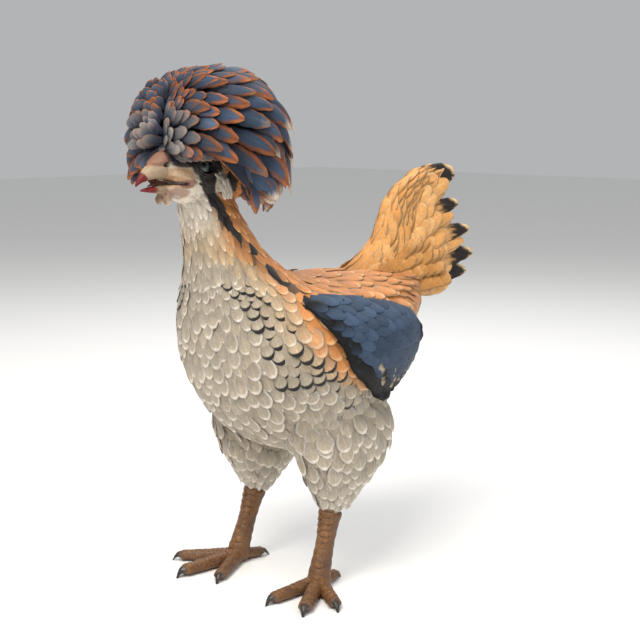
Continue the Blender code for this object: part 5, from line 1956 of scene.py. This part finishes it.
@dataclass
class Leg:
    """One bare leg: scaled skin over shank and toes, plates along them, and four claws."""

    name: str
    side: float
    spot: tuple
    hock: tuple
    headings: tuple
    hock_height: float = 60.0
    shank_radius: float = 6.6
    toes: tuple = (("inner", 49, 4.9), ("middle", 55, 5.3), ("outer", 47, 4.8), ("hind", 21, 4.4))
    plate_gap: float = 3.6

    def thick_at(self, share: float) -> float:
        """The shank's radius from hock to foot, in millimetres."""
        share_of = float(np.interp(share, (0, 0.55, 1), (1.16, 0.93, 1.12)))
        return self.shank_radius * share_of + 0.75 + 0.9 * max(1 - 2 * share, 0)

    def plates(self) -> bpy.types.Collection:
        """Scutes of unit size that overlap: one that wraps a toe, and a narrow one for the shank."""
        shelf = bpy.data.collections.new(f"plates_{self.name}")
        columns, rows = 7, 4
        last = rows * columns
        for kind, wrap in enumerate((1.15, 0.6)):
            points, faces = [], []
            for layer in (0.0, -0.12):
                for j in range(rows):
                    v = j / (rows - 1)
                    for k in range(columns):
                        side = 2 * k / (columns - 1) - 1
                        a = side * wrap * (1 - 0.16 * (2 * v - 1) ** 2)
                        high = math.cos(a) - 1 + 0.035 * v + layer
                        points.append((math.sin(a), v * (1.2 - 0.25 * side**2), high))
            for j in range(rows - 1):
                for k in range(columns - 1):
                    a = j * columns + k
                    faces.append((a, a + 1, a + columns + 1, a + columns))
                    faces.append((last + a, last + a + columns, last + a + columns + 1, last + a + 1))
            border = list(range(columns)) + [j * columns + columns - 1 for j in range(1, rows)]
            border += [(rows - 1) * columns + k for k in range(columns - 2, -1, -1)]
            border += [j * columns for j in range(rows - 2, 0, -1)]
            for k, a in enumerate(border):
                b = border[(k + 1) % len(border)]
                faces.append((b, a, last + a, last + b))
            plate = mesh_piece(f"plate_{self.name}_{kind}", np.array(points), faces, SCUTE)
            outwards(plate)
            bpy.context.scene.collection.objects.unlink(plate)
            shelf.objects.link(plate)
        return shelf

    def scutes(self) -> None:
        """Sets plates in two columns down the front of the shank, and along the top of each toe."""
        spots, aheads, ups, wides, kinds = [], [], [], [], []
        draw = np.random.default_rng(61)
        low, high = np.array((*self.spot, 11.0)), np.array((*self.hock, self.hock_height + 2))
        down = unit(low - high)
        front = unit(np.array((0.0, -1.0, 0.0)) - down * down.dot((0.0, -1.0, 0.0)))
        beside = np.cross(down, front)
        count = int(np.linalg.norm(high - low) / 4.6)
        for column in (-1, 1):
            for k in range(count):
                share = (k + 0.25 * (column + 1)) / count
                radius = self.thick_at(share) - 0.1
                facing = unit(front * math.cos(0.52) + beside * column * math.sin(0.52))
                spots.append(high + (low - high) * share + facing * radius + draw.uniform(-0.2, 0.2, 3))
                aheads.append(down)
                ups.append(facing)
                wides.append(radius)
                kinds.append(1)
        for (_, length, radius), turn in zip(self.toes, self.headings):
            angle = math.radians(self.side * turn)
            ahead = np.array((math.sin(angle), -math.cos(angle), 0.0))
            count = int((length - 6) / self.plate_gap)
            for k in range(count):
                share = (6 + k * self.plate_gap) / length
                thick = radius * (1.12 - 0.24 * share) + 0.55
                centre = (6.4 - radius) * (1 - share) ** 2 + radius - 0.9
                spots.append(np.array((*self.spot, centre + thick)) + ahead * length * share)
                aheads.append(ahead)
                ups.append(np.array((0.0, 0.0, 1.0)))
                wides.append(thick)
                kinds.append(0)
        ahead, up = np.array(aheads), np.array(ups)
        up = unit(up - ahead * (up * ahead).sum(1, keepdims=True))
        mesh = bpy.data.meshes.new(f"scutes_{self.name}")
        mesh.from_pydata(place(np.array(spots)).tolist(), [], [])
        piece = add_object(mesh.name, mesh)
        wide = np.array(wides)
        store(piece, "turn", turns_of(ahead, up), "FLOAT_VECTOR")
        gap = np.where(np.array(kinds) == 1, 4.6, self.plate_gap)
        store(piece, "size", np.stack((wide, gap, wide), 1), "FLOAT_VECTOR")
        store(piece, "kind", np.array(kinds, np.int32), "INT")
        set_out(piece, self.plates(), SCUTE, 0.05, 9)
        finish_piece(smooth(piece), "leg_scale", f"foot_{self.name}")

    def build(self) -> None:
        """Makes the leg's skin, plates and claws."""
        nodes = (f"shank_{self.name}", f"foot_{self.name}")
        skin = remeshed(f"leg_skin_{self.name}", nodes, 0.8, 14, LEG)
        height = measure(points_of(skin.data)[0])[:, 2]
        swell(skin, 1.15 * ease(height, 0.8, 4) + 0.6 * ease(height, 28, 60))
        finish_piece(skin, "leg_scale", *nodes)
        self.scutes()
        for toe, _, _ in self.toes:
            node = f"claw_{self.name}_{toe}"
            claw = remeshed(f"{node}_horn", (node,), 0.4, 3, CLAW)
            spots = measure(points_of(claw.data)[0])
            out = np.linalg.norm(spots[:, :2] - np.array(self.spot), axis=1)
            base = spots[out < out.min() + 1.5].mean(0)
            ahead = unit((spots[out > out.max() - 2].mean(0) - base) * (1, 1, 0))
            long = (spots - base) @ ahead
            aside = spots - base - long[:, None] * ahead
            spots = base + ahead * long[:, None] * 0.74 + aside * (1.5, 1.5, 1.25)
            spots[:, 2] = np.maximum(spots[:, 2], 0.02)
            put_points(claw, place(spots))
            dark = ease(out, out.min() + 1, out.min() + 5)
            colour = mixed(linear("5A4636")[None], linear("2A2624")[None], dark)
            paint(claw, "ground", colour)
            finish_piece(claw, "claw_horn", node)


@dataclass
class Studio:
    """A plain pale floor, soft lights, and the camera at the photo's view."""

    turn: float = 45.0
    rise: float = 9.0
    distance: float = 1.0027
    focal_mm: float = 72.19
    target: tuple = (28.0, 0.0, 208.0)

    @staticmethod
    def away(turn: float, rise: float) -> Vector:
        """The way from the bird at a turn from its front and a rise over the floor, both in degrees."""
        a, e = math.radians(turn), math.radians(rise)
        return Vector((math.sin(a) * math.cos(e), -math.cos(a) * math.cos(e), math.sin(e)))

    def light(
        self, name: str, turn: float, rise: float, far: float, size: float, power: float, colour: str
    ) -> None:
        """One square soft light that faces the bird."""
        lamp = bpy.data.lights.new(name, "AREA")
        lamp.size, lamp.energy, lamp.color = size, power, linear(colour)
        piece = add_object(name, lamp)
        middle = Vector(place(np.array(((0.0, 0.0, 210.0),)))[0])
        away = self.away(turn, rise)
        piece.location = middle + away * far
        piece.rotation_euler = away.to_track_quat("Z", "Y").to_euler()

    def build(self) -> None:
        """Makes the floor, the lights, the surroundings and the camera."""
        made = bmesh.new()
        bmesh.ops.create_grid(made, x_segments=2, y_segments=2, size=6.0)
        mesh = bpy.data.meshes.new("studio_floor")
        made.to_mesh(mesh)
        made.free()
        mesh.materials.append(FLOOR.build())
        floor = add_object("studio_floor", mesh)
        self.light("key_light", 20, 55, 1.5, 0.9, 26, "FFF9F2")
        self.light("fill_light", 95, 30, 1.6, 1.2, 6, "F2F5FF")
        self.light("back_light", 215, 50, 1.6, 0.9, 11, "FFFFFF")
        world = bpy.data.worlds.new("studio_air")
        world.use_nodes = True
        ground = world.node_tree.nodes["Background"]
        ground.inputs["Color"].default_value = (*linear("F4F5F7"), 1)
        ground.inputs["Strength"].default_value = 0.5
        bpy.context.scene.world = world
        bpy.context.scene.view_settings.view_transform = "Standard"
        lens = bpy.data.cameras.new("camera")
        lens.lens, lens.sensor_width, lens.clip_start = self.focal_mm, 36.0, 0.01
        camera = add_object("camera", lens)
        away = self.away(self.turn, self.rise)
        camera.location = Vector(place(np.array((self.target,)))[0]) + away * self.distance
        camera.rotation_euler = away.to_track_quat("Z", "Y").to_euler()
        bpy.context.scene.camera = camera


def main() -> None:
    """Builds the bird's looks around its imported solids, in order."""
    logging.basicConfig(level=logging.INFO, format="%(name)s %(message)s")
    Studio().build()
    Body().build()
    Face().build()
    Crest().build()
    for name, side in SIDES.items():
        Wing(name, side).build()
    Tail().build()
    Leg("left", 1.0, (47, -20), (44, -3), (0, 34, 60, 189)).build()
    Leg("right", -1.0, (-44, -24), (-44, -3), (-31, 3, 46, 194)).build()


if __name__ == "__main__":
    main()
